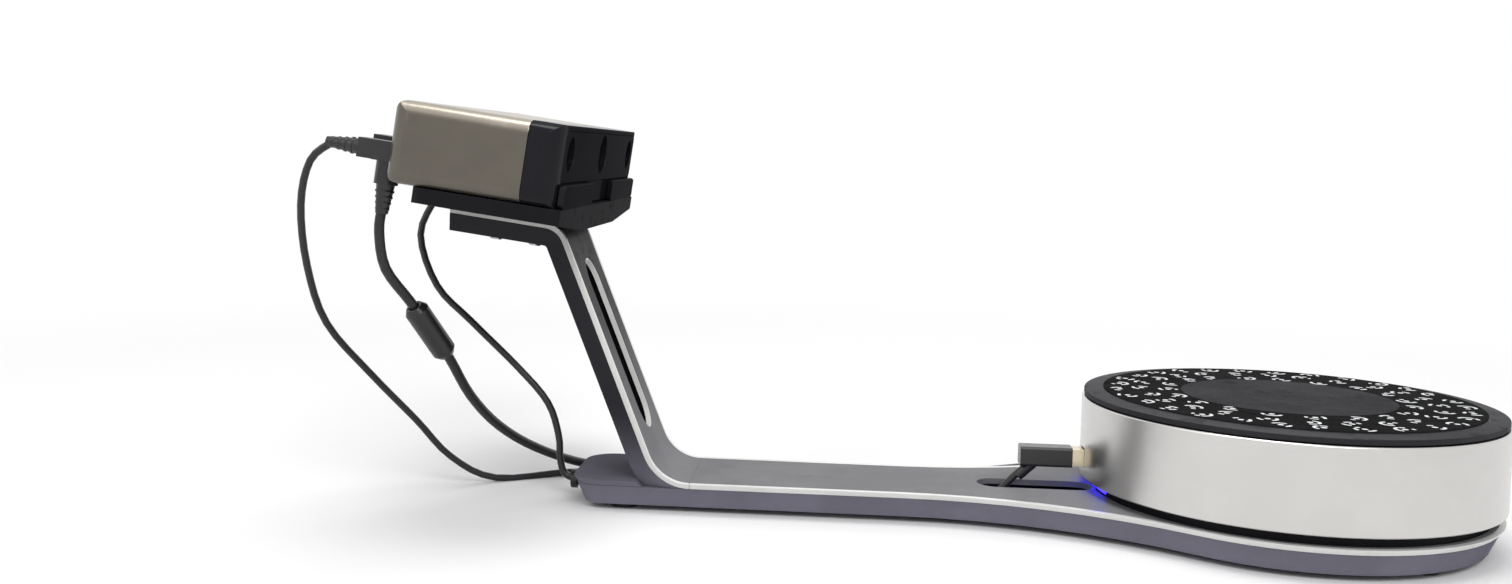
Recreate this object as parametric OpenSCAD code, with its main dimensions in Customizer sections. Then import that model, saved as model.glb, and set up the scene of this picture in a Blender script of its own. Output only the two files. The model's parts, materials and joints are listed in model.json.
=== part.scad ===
// Desktop 3D scanner: a scan head on a ribbon-like stand that looks down at a motor-driven turntable.
// Millimetres, +Z up, +X runs from the scan head to the turntable, +Y away from the viewer's side.
// The origin lies on the surface it stands on, under the middle of the length and the width.

/* [Turntable] */
// Outer radius of the silver ring
ring_r = 100; // [96:1:110]
// Height of the silver ring
ring_h = 40; // [36:1:50]
// Wall of the silver ring
ring_wall = 2.5; // [1.5:0.5:3]
// Height of the dark gap below the silver ring
gap_h = 5; // [4:0.5:8]
// How far the dark gap is set back from the ring's face
gap_in = 6; // [5:0.5:9]
// Height of the platter's upright edge
platter_edge = 2.8; // [2:0.2:5]
// Height of the sloping bevel round the platter
bevel_h = 1; // [0.5:0.1:2]
// Width of the sloping bevel round the platter
bevel_w = 9.5; // [6:0.5:14]
// Radius of the plain pad in the middle of the platter
pad_r = 51; // [40:0.5:70]
// Thickness of the marker sheet and of the centre pad
sheet_t = 0.4; // [0.3:0.1:1]
// Radius of the spindle
spindle_r = 4; // [3:0.5:6]
// Module of the drive gears
gear_m = 1.5; // [1.2:0.1:1.6]
// Side of the square socket for the turntable lead
socket_w = 9.4; // [8:0.2:11]
// How far the lead's plug stands off the ring
plug_out = 5.7; // [1:0.1:7]

/* [Stand] */
// Height of the rubber feet
foot_h = 3; // [2:0.5:6]
// Height of the base pan's sloping side
pan_h = 10; // [8:0.5:16]
// Wall of the base pan
pan_wall = 4; // [3:0.5:5]
// Floor of the base pan
pan_floor = 2.5; // [1.5:0.5:4]
// Height of the pale trim and thickness of the top panels
trim_h = 3; // [2:0.5:4]
// Width of the pale trim, seen from above
trim_w = 3.4; // [2.5:0.1:5]
// Half the width of the arm, trim included
arm_half = 32; // [28:1:38]
// How far the round base is set back under the ring
base_in = 0.5; // [0.5:0.5:4]
// Radius of the curve where the arm flares into the round base
flare_r = 204; // [150:1:230]
// Inward slope of the trim from its top to its bottom edge
trim_draft = 2.3; // [1:0.1:3]
// Inward slope of the pan from its top to its bottom edge
pan_draft = 4.4; // [2:0.1:6]
// Distance from the turntable's axis to the foot of the column
column_at = 311; // [290:1:330]
// Distance from the turntable's axis to the rear end of the base
rear_at = 357; // [345:1:380]
// Plan radius of the rear corners of the base
rear_corner = 16; // [13:1:24]
// Lean of the column from upright, in degrees
lean = 22.3; // [18:0.1:26]
// Inner radius where the arm turns up into the column
fillet_r = 22; // [18:1:36]
// Outer radius where the column turns back under the head
bend_r = 14; // [13:0.5:18]
// Thickness of the column, panel and trim included
column_t = 12; // [8:0.5:12.5]
// Wall of the column's channel
column_wall = 2; // [1.5:0.1:3]
// Width of the long slot in the column
slot_w = 27; // [14:1:30]
// Length of the long slot in the column
slot_len = 93; // [60:1:100]
// Width of the lead's outlet in the arm
outlet_w = 19; // [12:1:24]
// Length of the lead's outlet in the arm
outlet_len = 58; // [44:1:64]

/* [Scan head] */
// Width of the head
head_w = 210; // [190:1:220]
// Depth of the head, front to back
head_d = 78; // [74:1:90]
// Height of the head
head_h = 37.6; // [35:0.1:44]
// Downward tilt of the head, in degrees
tilt = 7.5; // [4:0.5:12]
// Distance from the turntable's axis to the front lower edge of the head
head_at = 351.4; // [345:0.1:356]
// Height of the front lower edge of the head
head_z = 152.6; // [145:0.1:165]
// Depth of the glossy front part
front_d = 15.6; // [12:0.1:20]
// Wall of the head's casings
head_wall = 2.2; // [1.5:0.1:3]
// Radius of the head's long edges
edge_r = 7; // [4:0.5:9]
// Plan radius of the head's rear corners
corner_r = 10; // [8:0.5:14]
// Height of the seam under the front window
seam_z = 11.5; // [10:0.5:13]
// Distance from each camera to the side of the head
camera_in = 22; // [20:1:30]
// Radius of the camera windows
camera_r = 8; // [6:0.5:9]
// Radius of the projector window
projector_r = 10; // [8:0.5:11]
// Travel of the power button
button_travel = 1.2; // [0.8:0.1:1.5]

/* [Tray] */
// Depth of the tray that carries the head
tray_d = 69; // [60:1:72]
// Thickness of the tray
tray_t = 12; // [9:0.5:15]
// How far the tray's lip stands in front of the head
lip_x = 3; // [2.5:0.5:5]
// Width of each claw on the lip
claw_w = 72; // [50:1:74]
// Height of the claws above the tray
claw_h = 11; // [8:0.5:11]

/* [Cords] */
// Diameter of the power lead
power_dia = 3.6; // [3:0.1:4]
// Diameter of the data cord
data_dia = 5; // [4:0.1:6]
// Diameter of the turntable lead
lead_dia = 3.6; // [3:0.1:4]
// Turns in each layer of the put-away coils
coil_turns = 3; // [2:1:4]

/* [Hidden] */
$fn = 72;

fit = 0.2;            // gap between casings that fit into each other
run = 0.05;           // radial clearance of turning fits
still = 0.4;          // gap between turning and still parts
far = 400;            // longer than anything that is cut

// Heights, from the surface up
pan_top = foot_h + pan_h;
deck_z = pan_top + trim_h;
ring_z = deck_z + gap_h;
ring_top = ring_z + ring_h;
platter_z = ring_top + still;
sheet_z = platter_z + platter_edge + bevel_h;

// The rearmost point of the head sets how far the object reaches from the turntable's axis
reach = head_at + (head_d - edge_r) * cos(tilt) - edge_r * sin(tilt) + edge_r;
table_x = (reach - ring_r) / 2;

module at_table() { translate([table_x, 0, 0]) children(); }
module at_head() { at_table() translate([-head_at, 0, head_z]) rotate([0, tilt, 0]) children(); }

// ---- outlines ----
function arc(c, r, a0, a1, n) = [for (i = [0:n]) let (a = a0 + (a1 - a0) * i / n) c + r * [cos(a), sin(a)]];
function flip(v) = [for (i = [len(v) - 1:-1:0]) v[i]];
function at_z(v, z) = [for (p = v) [p[0], p[1], z]];

base_r = ring_r - base_in;
flare_y = arm_half + flare_r;
flare_x = -sqrt(pow(base_r + flare_r, 2) - pow(flare_y, 2));
flare_a = atan2(flare_y, -flare_x);

// Edge of the arm and the round base, from the foot of the column on the near side round to the far side
function deck_edge(inset) = concat(
    [[fillet_c[0], inset - arm_half]],
    arc([flare_x, -flare_y], flare_r + inset, 90, flare_a, 8),
    arc([0, 0], base_r - inset, flare_a - 180, 180 - flare_a, 56),
    arc([flare_x, flare_y], flare_r + inset, -flare_a, -90, 8),
    [[fillet_c[0], arm_half - inset]]);

// The whole outline of the base, with the part behind the column
function base_edge(inset) = concat(deck_edge(inset),
    arc([rear_corner - rear_at, arm_half - rear_corner], rear_corner - inset, 90, 180, 8),
    arc([rear_corner - rear_at, rear_corner - arm_half], rear_corner - inset, 180, 270, 8));

// The part of that outline behind the column
function rear_edge(inset) = concat([[-column_at, arm_half - inset]],
    arc([rear_corner - rear_at, arm_half - rear_corner], rear_corner - inset, 90, 180, 8),
    arc([rear_corner - rear_at, rear_corner - arm_half], rear_corner - inset, 180, 270, 8),
    [[-column_at, inset - arm_half]]);

// Centre of the curve between arm and column, and of the bend between column and tray, in X and Z
fillet_c = [fillet_r * (1 - sin(lean)) / cos(lean) - column_at, deck_z + fillet_r];
tray_foot = [-head_at, head_z] - tray_t * [sin(tilt), cos(tilt)];
bend_a = -column_at * cos(lean) + deck_z * sin(lean) - bend_r;
bend_b = tray_foot[0] * sin(tilt) + tray_foot[1] * cos(tilt) - bend_r;
bend_c = [bend_a * cos(tilt) - bend_b * sin(lean), bend_b * cos(lean) - bend_a * sin(tilt)] / cos(lean + tilt);

// The stand's face in the side view, depth mm below the surface: up the column and back under the tray
function ribbon(depth) = concat(
    arc(fillet_c, fillet_r + depth, -90, lean - 180, 12),
    arc(bend_c, bend_r - depth, lean, 90 - tilt, 10),
    [tray_foot + (tray_d - lip_x) * [-cos(tilt), sin(tilt)] - depth * [sin(tilt), cos(tilt)]]);

// ---- solids between rings of points ----
// The two ends are closed by flat convex faces, given as lists of places in a ring
module skin(rings, ends) {
    n = len(rings[0]);
    last = len(rings) - 1;
    closed = is_undef(ends) ? [[for (j = [0:n - 1]) j]] : ends;
    polyhedron(
        points = [for (r = rings) each r],
        faces = concat(
            closed,
            [for (f = closed) [for (j = flip(f)) last * n + j]],
            [for (i = [0:last - 1], j = [0:n - 1]) let (k = (j + 1) % n)
                each [[i * n + j, (i + 1) * n + j, (i + 1) * n + k], [i * n + j, (i + 1) * n + k, i * n + k]]]));
}

// A section of [y, depth] points swept along the column's face
module ribbon_sweep(section, ends) {
    rails = [for (s = section) ribbon(s[1])];
    skin([for (k = [0:len(rails[0]) - 1])
        [for (j = [0:len(section) - 1]) [rails[j][k][0], section[j][0], rails[j][k][1]]]], ends);
}

// A section of [inset, z] points swept along the edge of the arm and the round base
module deck_sweep(section) {
    rails = [for (s = section) at_z(deck_edge(s[0]), s[1])];
    skin([for (k = [0:len(rails[0]) - 1]) [for (j = [0:len(section) - 1]) rails[j][k]]]);
}

// ---- flat shapes ----
module rounded(w, h, r) {
    square([w - 2 * r, h], center = true);
    square([w, h - 2 * r], center = true);
    for (x = [-1, 1], y = [-1, 1]) translate([x * (w / 2 - r), y * (h / 2 - r)]) circle(r);
}

module stadium(length, w) {
    square([length - w, w], center = true);
    for (x = [-1, 1]) translate([x * (length - w) / 2, 0]) circle(w / 2);
}

module rod_x(r, x0, x1) { translate([x0, 0, 0]) rotate([0, 90, 0]) cylinder(r = r, h = x1 - x0); }
module tube(r0, r1, h) {
    difference() {
        cylinder(r = r1, h = h);
        translate([0, 0, -1]) cylinder(r = r0, h = h + 2);
    }
}

// ---- base of the stand ----
foot_r = 8;
foot_in = 14;
post_r = 4;
screw_r = 1.6;
head_screw_r = 3;
post_spots = concat([for (a = [-135, -45, 45, 135]) 80 * [cos(a), sin(a)]],
                    [for (x = [-190, -270], y = [-16, 16]) [x, y]]);
foot_spots = concat([for (a = [-60, 60, 0]) (base_r - pan_draft - foot_in) * [cos(a), sin(a)]],
                    [for (y = [-1, 1]) [-rear_at + 26, y * (arm_half - pan_draft - foot_in)]]);

// Strips between mirrored points of the base's outline, which fill it with convex faces
function base_strips(n, tail) = let (m = n - 2 * tail, h = (m - 1) / 2) concat(
    [for (j = [0:h - 2]) [j, j + 1, m - 2 - j, m - 1 - j]],
    [[h - 1, h, h + 1], [0, m - 1, m, n - 1]],
    [for (i = [0:tail - 2]) [m + i, m + i + 1, n - 2 - i, n - 1 - i]]);

module base_pan() color([0.27, 0.28, 0.33]) at_table() difference() {
    union() {
        difference() {
            skin([at_z(base_edge(trim_draft + pan_draft), foot_h), at_z(base_edge(trim_draft), pan_top)],
                 base_strips(len(base_edge(0)), 9));
            translate([0, 0, foot_h + pan_floor]) linear_extrude(pan_h)
                polygon(base_edge(trim_draft + pan_draft + pan_wall / 2));
        }
        for (p = post_spots) translate([p[0], p[1], foot_h + pan_floor - 0.5])
            cylinder(r = post_r, h = pan_h - pan_floor + 0.5);
    }
    for (p = post_spots) translate([p[0], p[1], 0]) {
        cylinder(r = screw_r, h = far);
        cylinder(r = head_screw_r + fit, h = foot_h + pan_floor - 1);
    }
    lead_bore(neck_r + fit);
}

// The way of the turntable lead through the rear end of the base
lead_z = 9;
neck_r = lead_dia / 2 + 1.4;
module lead_bore(r) { translate([0, 0, lead_z]) rod_x(r, -rear_at - 5, -rear_at + 14); }

module top_panel() color([0.42, 0.42, 0.44]) at_table() difference() {
    translate([0, 0, pan_top]) linear_extrude(trim_h) difference() {
        polygon(deck_edge(trim_w + fit));
        translate([-base_r + gap_in / 2 - outlet_len / 2 + 2, 0]) stadium(outlet_len, outlet_w);
        circle(r = spindle_r * 3);
    }
    for (p = post_spots) translate([p[0], p[1], pan_top - 1]) cylinder(r = screw_r - 0.2, h = 2.5);
}

module base_trim() color([0.86, 0.86, 0.88]) at_table()
    deck_sweep([[0, deck_z], [trim_draft, pan_top], [trim_w, pan_top], [trim_w, deck_z]]);

module rear_deck() color([0.24, 0.25, 0.3]) at_table() difference() {
    skin([at_z(rear_edge(trim_draft), pan_top), at_z(rear_edge(0.6), deck_z)]);
    ribbon_sweep([[arm_half + 1, -1], [arm_half + 1, column_t + fit],
                  [-arm_half - 1, column_t + fit], [-arm_half - 1, -1]]);
}

module rubber_feet() color([0.1, 0.1, 0.1]) at_table()
    for (p = foot_spots) translate([p[0], p[1], 0]) cylinder(r1 = foot_r - 0.8, r2 = foot_r, h = foot_h);

module base_screws() color([0.55, 0.56, 0.58]) at_table()
    for (p = post_spots) translate([p[0], p[1], foot_h + 0.4]) difference() {
        union() {
            cylinder(r = head_screw_r, h = pan_floor - 1.4);
            cylinder(r = screw_r - 0.2, h = pan_top - foot_h + 1);
        }
        for (a = [0, 90]) rotate(a) cube([3.4, 0.8, 1], center = true);
    }

// ---- column ----
function half_at(depth) = depth < trim_h ? arm_half - trim_draft * depth / trim_h
    : arm_half - trim_draft - pan_draft * (depth - trim_h) / pan_h;

module column_channel() color([0.27, 0.28, 0.33]) at_table() difference() {
    intersection() {
        ribbon_sweep([
            [half_at(trim_h), trim_h], [half_at(column_t), column_t], [-half_at(column_t), column_t],
            [-half_at(trim_h), trim_h], [column_wall * 2.5 - half_at(trim_h), trim_h],
            [column_wall - half_at(column_t), column_t - column_wall],
            [half_at(column_t) - column_wall, column_t - column_wall],
            [half_at(trim_h) - column_wall * 2.5, trim_h]],
            [[0, 1, 6, 7], [1, 2, 5, 6], [2, 3, 4, 5]]);
        translate([-far * 2, -far, pan_top]) cube([far * 2 + fillet_c[0] - 4, far * 2, far]);
    }
    at_tray_screws() cylinder(r = screw_r, h = far, center = true);
}

// The long slot is cut square to the column's face
slot_mid = 70;
module column_slot(w, length) {
    translate([-column_at, 0, deck_z]) rotate([0, 90 - lean, 0]) translate([-slot_mid, 0, 0])
        linear_extrude(trim_h * 3, center = true) stadium(length, w);
}

module column_panel() color([0.42, 0.42, 0.44]) at_table() difference() {
    side = arm_half - trim_w - fit;
    ribbon_sweep([[side, 0], [side, trim_h], [-side, trim_h], [-side, 0]]);
    column_slot(slot_w, slot_len);
    at_tray_screws() cylinder(r = screw_r, h = far, center = true);
}

module column_trim(side) {
    ribbon_sweep(side > 0
        ? [[arm_half, 0], [half_at(trim_h), trim_h], [arm_half - trim_w, trim_h], [arm_half - trim_w, 0]]
        : flip([[-arm_half, 0], [-half_at(trim_h), trim_h], [trim_w - arm_half, trim_h], [trim_w - arm_half, 0]]));
}
module column_trim_near() color([0.86, 0.86, 0.88]) at_table() column_trim(-1);
module column_trim_far() color([0.86, 0.86, 0.88]) at_table() column_trim(1);

// ---- tray under the head ----
tray_w = head_w - 6;
tray_side = 7;
tray_flat = 45;
tray_screw_at = [[-45, -14], [-45, 14], [-25, -14], [-25, 14]];

// Places the tray's screws in the turntable's frame
module at_tray_screws()
    translate([-head_at, 0, head_z]) rotate([0, tilt, 0])
        for (p = tray_screw_at) translate([p[0], p[1], -tray_t]) children();

module head_tray() color([0.1, 0.1, 0.12]) at_head() difference() {
    intersection() {
        translate([lip_x - tray_d, 0, 0]) rotate([90, 0, 90]) linear_extrude(tray_d) polygon([
            [-tray_w / 2, 0], [-tray_w / 2, -tray_side], [-tray_flat, -tray_t],
            [tray_flat, -tray_t], [tray_w / 2, -tray_side], [tray_w / 2, 0]]);
        translate([lip_x, 0, -tray_t - 1]) linear_extrude(tray_t + 2) rounded(2 * tray_d, tray_w, 8);
        translate([lip_x, 0, 0]) rotate([90, 0, 0])
            linear_extrude(tray_w, center = true) rounded(2 * tray_d, 2 * tray_t, 5);
    }
    translate([lip_x - tray_d + 5, -tray_w / 2 + 12, -tray_side + 2]) cube([tray_d - 14, tray_w - 24, tray_t]);
    for (p = tray_screw_at) translate([p[0], p[1], -tray_t - 1]) cylinder(r = screw_r - 0.2, h = 7);
}

module tray_claw(side) {
    middle = side * (tray_w / 2 - 3 - claw_w / 2);
    translate([lip_x - 1.3, middle, claw_h / 2]) rotate([0, 90, 0]) difference() {
        linear_extrude(2.6, center = true) rounded(claw_h, claw_w, 2.5);
        translate([-claw_h / 2, 0, 1.3]) rotate([0, 45, 0]) cube([1.2, claw_w + 1, 1.2], center = true);
    }
}
module tray_claw_near() color([0.07, 0.07, 0.08]) at_head() tray_claw(-1);
module tray_claw_far() color([0.07, 0.07, 0.08]) at_head() tray_claw(1);

module tray_screws() color([0.55, 0.56, 0.58]) at_table() at_tray_screws() {
    translate([0, 0, -column_t - 1.6]) difference() {
        cylinder(r = head_screw_r, h = 1.6);
        for (a = [0, 90]) rotate(a) cube([3.4, 0.8, 1.2], center = true);
    }
    translate([0, 0, -column_t - 0.5]) cylinder(r = screw_r - 0.2, h = column_t + 5);
}

// ---- turntable, still parts ----
gear_teeth = 60;
pinion_teeth = 12;
gear_gap = 0.25;
gear_h = 6;
gear_z = platter_z - gear_h;

flange_t = 2;
boss_r = 14;
bearing_r = 11;
bearing_h = 7;
bearing_z = ring_z + 20;
flange_z = ring_z + 2 * flange_t;
motor_at = [0, gear_m * (gear_teeth + pinion_teeth) / 2 + gear_gap];

module table_chassis() color([0.09, 0.09, 0.1]) at_table() difference() {
    union() {
        rotate_extrude() polygon([
            [boss_r, deck_z], [ring_r - gap_in, deck_z], [ring_r - gap_in, ring_z + flange_t],
            [ring_r - ring_wall - fit, ring_z + flange_t], [ring_r - ring_wall - fit, flange_z],
            [ring_r - gap_in - 6, flange_z], [ring_r - gap_in - 6, deck_z + flange_t], [boss_r, deck_z + flange_t]]);
        translate([0, 0, deck_z]) tube(bearing_r + run, boss_r, bearing_z + bearing_h - deck_z);
        translate([0, 0, deck_z]) cylinder(r = boss_r, h = bearing_z - deck_z);
        for (p = bracket_posts) translate([p[0], p[1], deck_z]) cylinder(r = 4, h = bracket_z - deck_z);
        for (p = board_posts) translate([p[0], p[1], deck_z]) cylinder(r = 3, h = board_z - deck_z);
    }
    translate([0, 0, deck_z - 1]) cylinder(r = spindle_r + 1, h = far);
    light_gap(0);
    translate([-ring_r, -outlet_w / 2 + 4, deck_z - 1]) cube([22, outlet_w - 8, 1 + flange_t]);
}

module silver_ring() color([0.78, 0.78, 0.8]) at_table() difference() {
    translate([0, 0, ring_z]) rotate_extrude() polygon([
        [ring_r - gap_in + fit, 0], [ring_r - 0.6, 0], [ring_r, 0.6], [ring_r, ring_h - 0.6],
        [ring_r - 0.6, ring_h], [ring_r - ring_wall, ring_h], [ring_r - ring_wall, flange_t],
        [ring_r - gap_in + fit, flange_t]]);
    translate([-ring_r, 0, plug_z]) cube([30, socket_w + 0.6, socket_w + 0.6], center = true);
}

// Blue light that shines through the gap under the ring, on the side of the arm
light_from = 167;
light_to = 193;
module light_gap(gap) {
    rotate(light_from) rotate_extrude(angle = light_to - light_from)
        translate([ring_r - gap_in - 1.5 + gap, deck_z + 1 + gap]) square([3 - 2 * gap, gap_h - 2 - 2 * gap]);
}
module status_light() color([0.1, 0.1, 0.9]) at_table() intersection() {
    light_gap(0.1);
    cylinder(r = ring_r - gap_in - 0.1, h = far);
}

module spindle_bearing() color([0.6, 0.61, 0.63]) at_table() translate([0, 0, bearing_z]) difference() {
    tube(spindle_r + run, bearing_r, bearing_h);
    translate([0, 0, bearing_h - 0.6]) tube(spindle_r + 2, bearing_r - 2, 1);
}

// Motor beside the spindle, hung under its bracket
motor_r = 14;
motor_h = 22;
shaft_r = 2.5;
bracket_t = 2;
bracket_z = flange_z + 26;
bracket_posts = [for (x = [-1, 1]) [x * 24, motor_at[1]]];

module drive_motor() color([0.5, 0.51, 0.53]) at_table() translate([motor_at[0], motor_at[1], bracket_z - motor_h])
    difference() {
        union() {
            cylinder(r = motor_r, h = motor_h);
            translate([0, 0, -3]) cylinder(r = 5, h = 4);
        }
        translate([0, 0, motor_h - 8]) cylinder(r = shaft_r + run, h = 9);
    }

module motor_bracket() color([0.66, 0.67, 0.69]) at_table() difference() {
    translate([motor_at[0], motor_at[1], bracket_z]) linear_extrude(bracket_t) difference() {
        rounded(58, 22, 5);
        circle(r = shaft_r + 1.5);
    }
    for (p = bracket_posts) translate([p[0], p[1], bracket_z - 1]) cylinder(r = screw_r, h = 5);
}

board_z = deck_z + flange_t + 5;
board_size = [56, 34, 1.6];
board_at = [-38, -38];
board_posts = [for (x = [-1, 1], y = [-1, 1]) board_at + [x * (board_size[0] / 2 - 5), y * (board_size[1] / 2 - 5)]];
module table_board() color([0.05, 0.3, 0.16]) at_table() {
    translate([board_at[0], board_at[1], board_z]) {
        translate([0, 0, board_size[2] / 2]) cube(board_size, center = true);
        translate([-8, 0, board_size[2] + 1]) cube([14, 14, 2], center = true);
        translate([16, 4, board_size[2] + 3]) cube([8, 10, 6], center = true);
        for (y = [-11, 11]) translate([4, y, board_size[2]]) cylinder(r = 2.5, h = 6);
    }
}

// Square socket behind the ring, facing the arm
plug_z = 31;
socket_d = 16;
module table_socket() color([0.7, 0.7, 0.72]) at_table() translate([-ring_r + ring_wall + 1.5, 0, plug_z]) difference() {
    translate([0, -socket_w / 2 - 1.2, -socket_w / 2 - 1.2]) cube([socket_d, socket_w + 2.4, socket_w + 2.4]);
    translate([-1, -socket_w / 2, -socket_w / 2]) cube([socket_d - 1, socket_w, socket_w]);
}

// ---- turntable, turning parts ----
// A straight-flanked spur gear: one tooth points along +X
function gear_outline(teeth) = let (
        pitch = gear_m * teeth / 2, root = pitch - 1.25 * gear_m, tip = pitch + 0.9 * gear_m,
        wide = 0.95 * gear_m / root * 180 / PI, narrow = 0.28 * gear_m / tip * 180 / PI)
    [for (i = [0:teeth - 1]) let (a = i * 360 / teeth)
        each [root * [cos(a - wide), sin(a - wide)], tip * [cos(a - narrow), sin(a - narrow)],
              tip * [cos(a + narrow), sin(a + narrow)], root * [cos(a + wide), sin(a + wide)]]];

platter_r = ring_r - 1;
hub_r = 10;

module platter() color([0.13, 0.13, 0.14]) at_table() difference() {
    translate([0, 0, platter_z]) rotate_extrude() polygon([
        [0, 0], [platter_r - 0.5, 0], [platter_r, 0.5], [platter_r, platter_edge],
        [platter_r - bevel_w, platter_edge + bevel_h], [0, platter_edge + bevel_h]]);
    translate([0, 0, platter_z - 1]) cylinder(r = spindle_r, h = 3);
}

module marker_sheet() color([0.05, 0.05, 0.055]) at_table()
    translate([0, 0, sheet_z]) tube(pad_r + fit, platter_r - bevel_w, sheet_t);

module centre_pad() color([0.16, 0.16, 0.17]) at_table()
    translate([0, 0, sheet_z]) cylinder(r = pad_r, h = sheet_t + 0.2);

module platter_gear() color([0.85, 0.84, 0.8]) at_table() translate([0, 0, gear_z]) difference() {
    union() {
        linear_extrude(gear_h) difference() {
            polygon(gear_outline(gear_teeth));
            circle(r = gear_m * gear_teeth / 2 - 7);
        }
        linear_extrude(2.5) difference() {
            circle(r = gear_m * gear_teeth / 2 - 6);
            circle(r = hub_r - 2);
            for (a = [30:60:330]) rotate(a) translate([24, 0]) circle(r = 7);
        }
        tube(spindle_r, hub_r, gear_h);
    }
}

module spindle() color([0.72, 0.73, 0.75]) at_table() {
    translate([0, 0, bearing_z - 3]) cylinder(r = spindle_r, h = platter_z + 2 - bearing_z + 3);
    translate([0, 0, bearing_z - 5]) cylinder(r = spindle_r - 0.5, h = 2);
}

module drive_pinion() color([0.8, 0.65, 0.3]) at_table() translate([motor_at[0], motor_at[1], 0]) {
    translate([0, 0, bracket_z - 6]) cylinder(r = shaft_r, h = gear_z + 0.2 - bracket_z + 6);
    translate([0, 0, gear_z + 0.2]) rotate(90 + 180 / pinion_teeth)
        linear_extrude(gear_h - 0.2 - still) polygon(gear_outline(pinion_teeth));
}

// ---- scan head ----
lens_z = (seam_z + head_h) / 2;
camera_span = head_w - 2 * camera_in;
window_t = 1.6;
window_in = 8;
rear_in = [14, 8];

// The outer form of the head, grown inwards by a wall: three rounded outlines crossed
module head_block(inset) {
    d = head_d - 2 * inset;
    w = head_w - 2 * inset;
    h = head_h - 2 * inset;
    soft = edge_r - inset * 0.8;
    translate([-head_d / 2, 0, head_h / 2]) intersection() {
        rotate([90, 0, 90]) linear_extrude(d, center = true) rounded(w, h, soft);
        linear_extrude(h + 2, center = true) rounded(d, w, corner_r - inset);
        rotate([90, 0, 0]) linear_extrude(w + 2, center = true) union() {
            rounded(d, h, soft);
            translate([d / 4, 0]) rounded(d / 2, h, 1);
        }
    }
}

module head_part(from, to) {
    intersection() {
        children();
        translate([from, -far, -far]) cube([to - from, far * 2, far * 2]);
    }
}

module head_shell() color([0.66, 0.66, 0.66]) at_head() difference() {
    head_part(-head_d - 1, -front_d - fit) difference() {
        head_block(0);
        head_block(head_wall);
    }
    translate([-head_d, 0, head_h / 2])
        cube([3 * head_wall, head_w - 2 * rear_in[0], head_h - 2 * rear_in[1]], center = true);
}

module front_cover() color([0.05, 0.05, 0.055]) at_head() difference() {
    head_part(-front_d, 1) head_block(0);
    head_part(-front_d - 1, -window_t - head_wall) head_block(head_wall);
    translate([-window_t, 0, 0]) front_opening(20, fit, 0);
    lens_spots() {
        rod_x(camera_r, -10, 2);
        rod_x(projector_r, -10, 2);
    }
}

// First child at each camera, second child at the projector
module lens_spots() {
    for (y = [-1, 1]) translate([0, y * camera_span / 2, lens_z]) children(0);
    translate([0, 0, lens_z]) children(1);
}

module front_opening(depth, gap, x) {
    translate([x, 0, (seam_z + head_h - 2.5) / 2]) rotate([90, 0, 90])
        linear_extrude(depth) rounded(head_w - 2 * window_in + 2 * gap, head_h - 2.5 - seam_z + 2 * gap, 3);
}

module front_window() color([0.03, 0.03, 0.035]) at_head() difference() {
    translate([-window_t, 0, 0]) front_opening(window_t, 0, 0);
    lens_spots() {
        rod_x(camera_r, -10, 2);
        rod_x(projector_r, -10, 2);
    }
}

sockets_y = [-84, -60, 18];
sockets_z = 13;
button_y = 60;
button_r = 5;
module rear_panel() color([0.08, 0.08, 0.09]) at_head() difference() {
    translate([-head_d + head_wall / 2, 0, head_h / 2]) rotate([90, 0, 90])
        linear_extrude(head_wall, center = true)
            square([head_w - 2 * rear_in[0] - 2 * fit, head_h - 2 * rear_in[1] - 2 * fit], center = true);
    for (y = sockets_y) translate([-head_d, y, sockets_z]) cube([30, 8.6, 6.6], center = true);
    translate([0, button_y, head_h / 2]) rod_x(button_r + 0.15, -head_d - 1, -head_d + 10);
    for (y = [82:3:91]) translate([-head_d, y - 12, head_h / 2]) cube([30, 1.5, 12], center = true);
}

module head_sockets() color([0.55, 0.55, 0.57]) at_head() for (y = sockets_y)
    translate([-head_d + 0.4, y, sockets_z]) difference() {
        translate([0, -4.2, -3.2]) cube([14, 8.4, 6.4]);
        translate([-1, -3.2, -2.2]) cube([12, 6.4, 4.4]);
    }

module power_button() color([0.2, 0.2, 0.21]) at_head() translate([0, button_y, head_h / 2]) {
    rod_x(button_r, -head_d - 0.4, -head_d + head_wall + 1);
    rod_x(button_r + 1.5, -head_d + head_wall + 0.1, -head_d + head_wall + 1.3);
}

chassis_z = head_wall + 0.8;
chassis_t = 2;
module head_chassis() color([0.7, 0.71, 0.72]) at_head() {
    difference() {
        translate([-head_d + 12, -head_w / 2 + 14, chassis_z])
            cube([head_d - 12 - front_d, head_w - 28, chassis_t]);
        for (y = [-50, 50]) translate([-head_d / 2, y, 0]) cylinder(r = 6, h = far, center = true);
    }
    for (x = [-head_d + 20, -front_d - 8], y = [-1, 1]) translate([x, y * 70, head_wall]) cylinder(r = 3, h = 1);
}

barrel_x = -window_t - head_wall;
saddle_z = chassis_z + chassis_t;
module saddle(r, x0, x1) {
    translate([x0, -r * 0.7, saddle_z]) cube([x1 - x0, r * 1.4, lens_z - saddle_z - r * 0.5]);
}
module barrel(r, length, bore) {
    difference() {
        union() {
            translate([0, 0, lens_z]) rod_x(r, barrel_x - length, barrel_x - 0.3);
            saddle(r, barrel_x - length, barrel_x - length / 2);
        }
        translate([0, 0, lens_z]) rod_x(bore, barrel_x - 9, barrel_x + 1);
    }
}
barrel_wall = 0.6;
camera_barrel = 34;
projector_barrel_d = 42;
module projector_barrel() color([0.12, 0.12, 0.13]) at_head()
    barrel(projector_r + barrel_wall, projector_barrel_d, projector_r - 1.5);
module camera_near() color([0.12, 0.12, 0.13]) at_head()
    translate([0, -camera_span / 2, 0]) barrel(camera_r + barrel_wall, camera_barrel, camera_r - 1.5);
module camera_far() color([0.12, 0.12, 0.13]) at_head()
    translate([0, camera_span / 2, 0]) barrel(camera_r + barrel_wall, camera_barrel, camera_r - 1.5);

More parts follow.
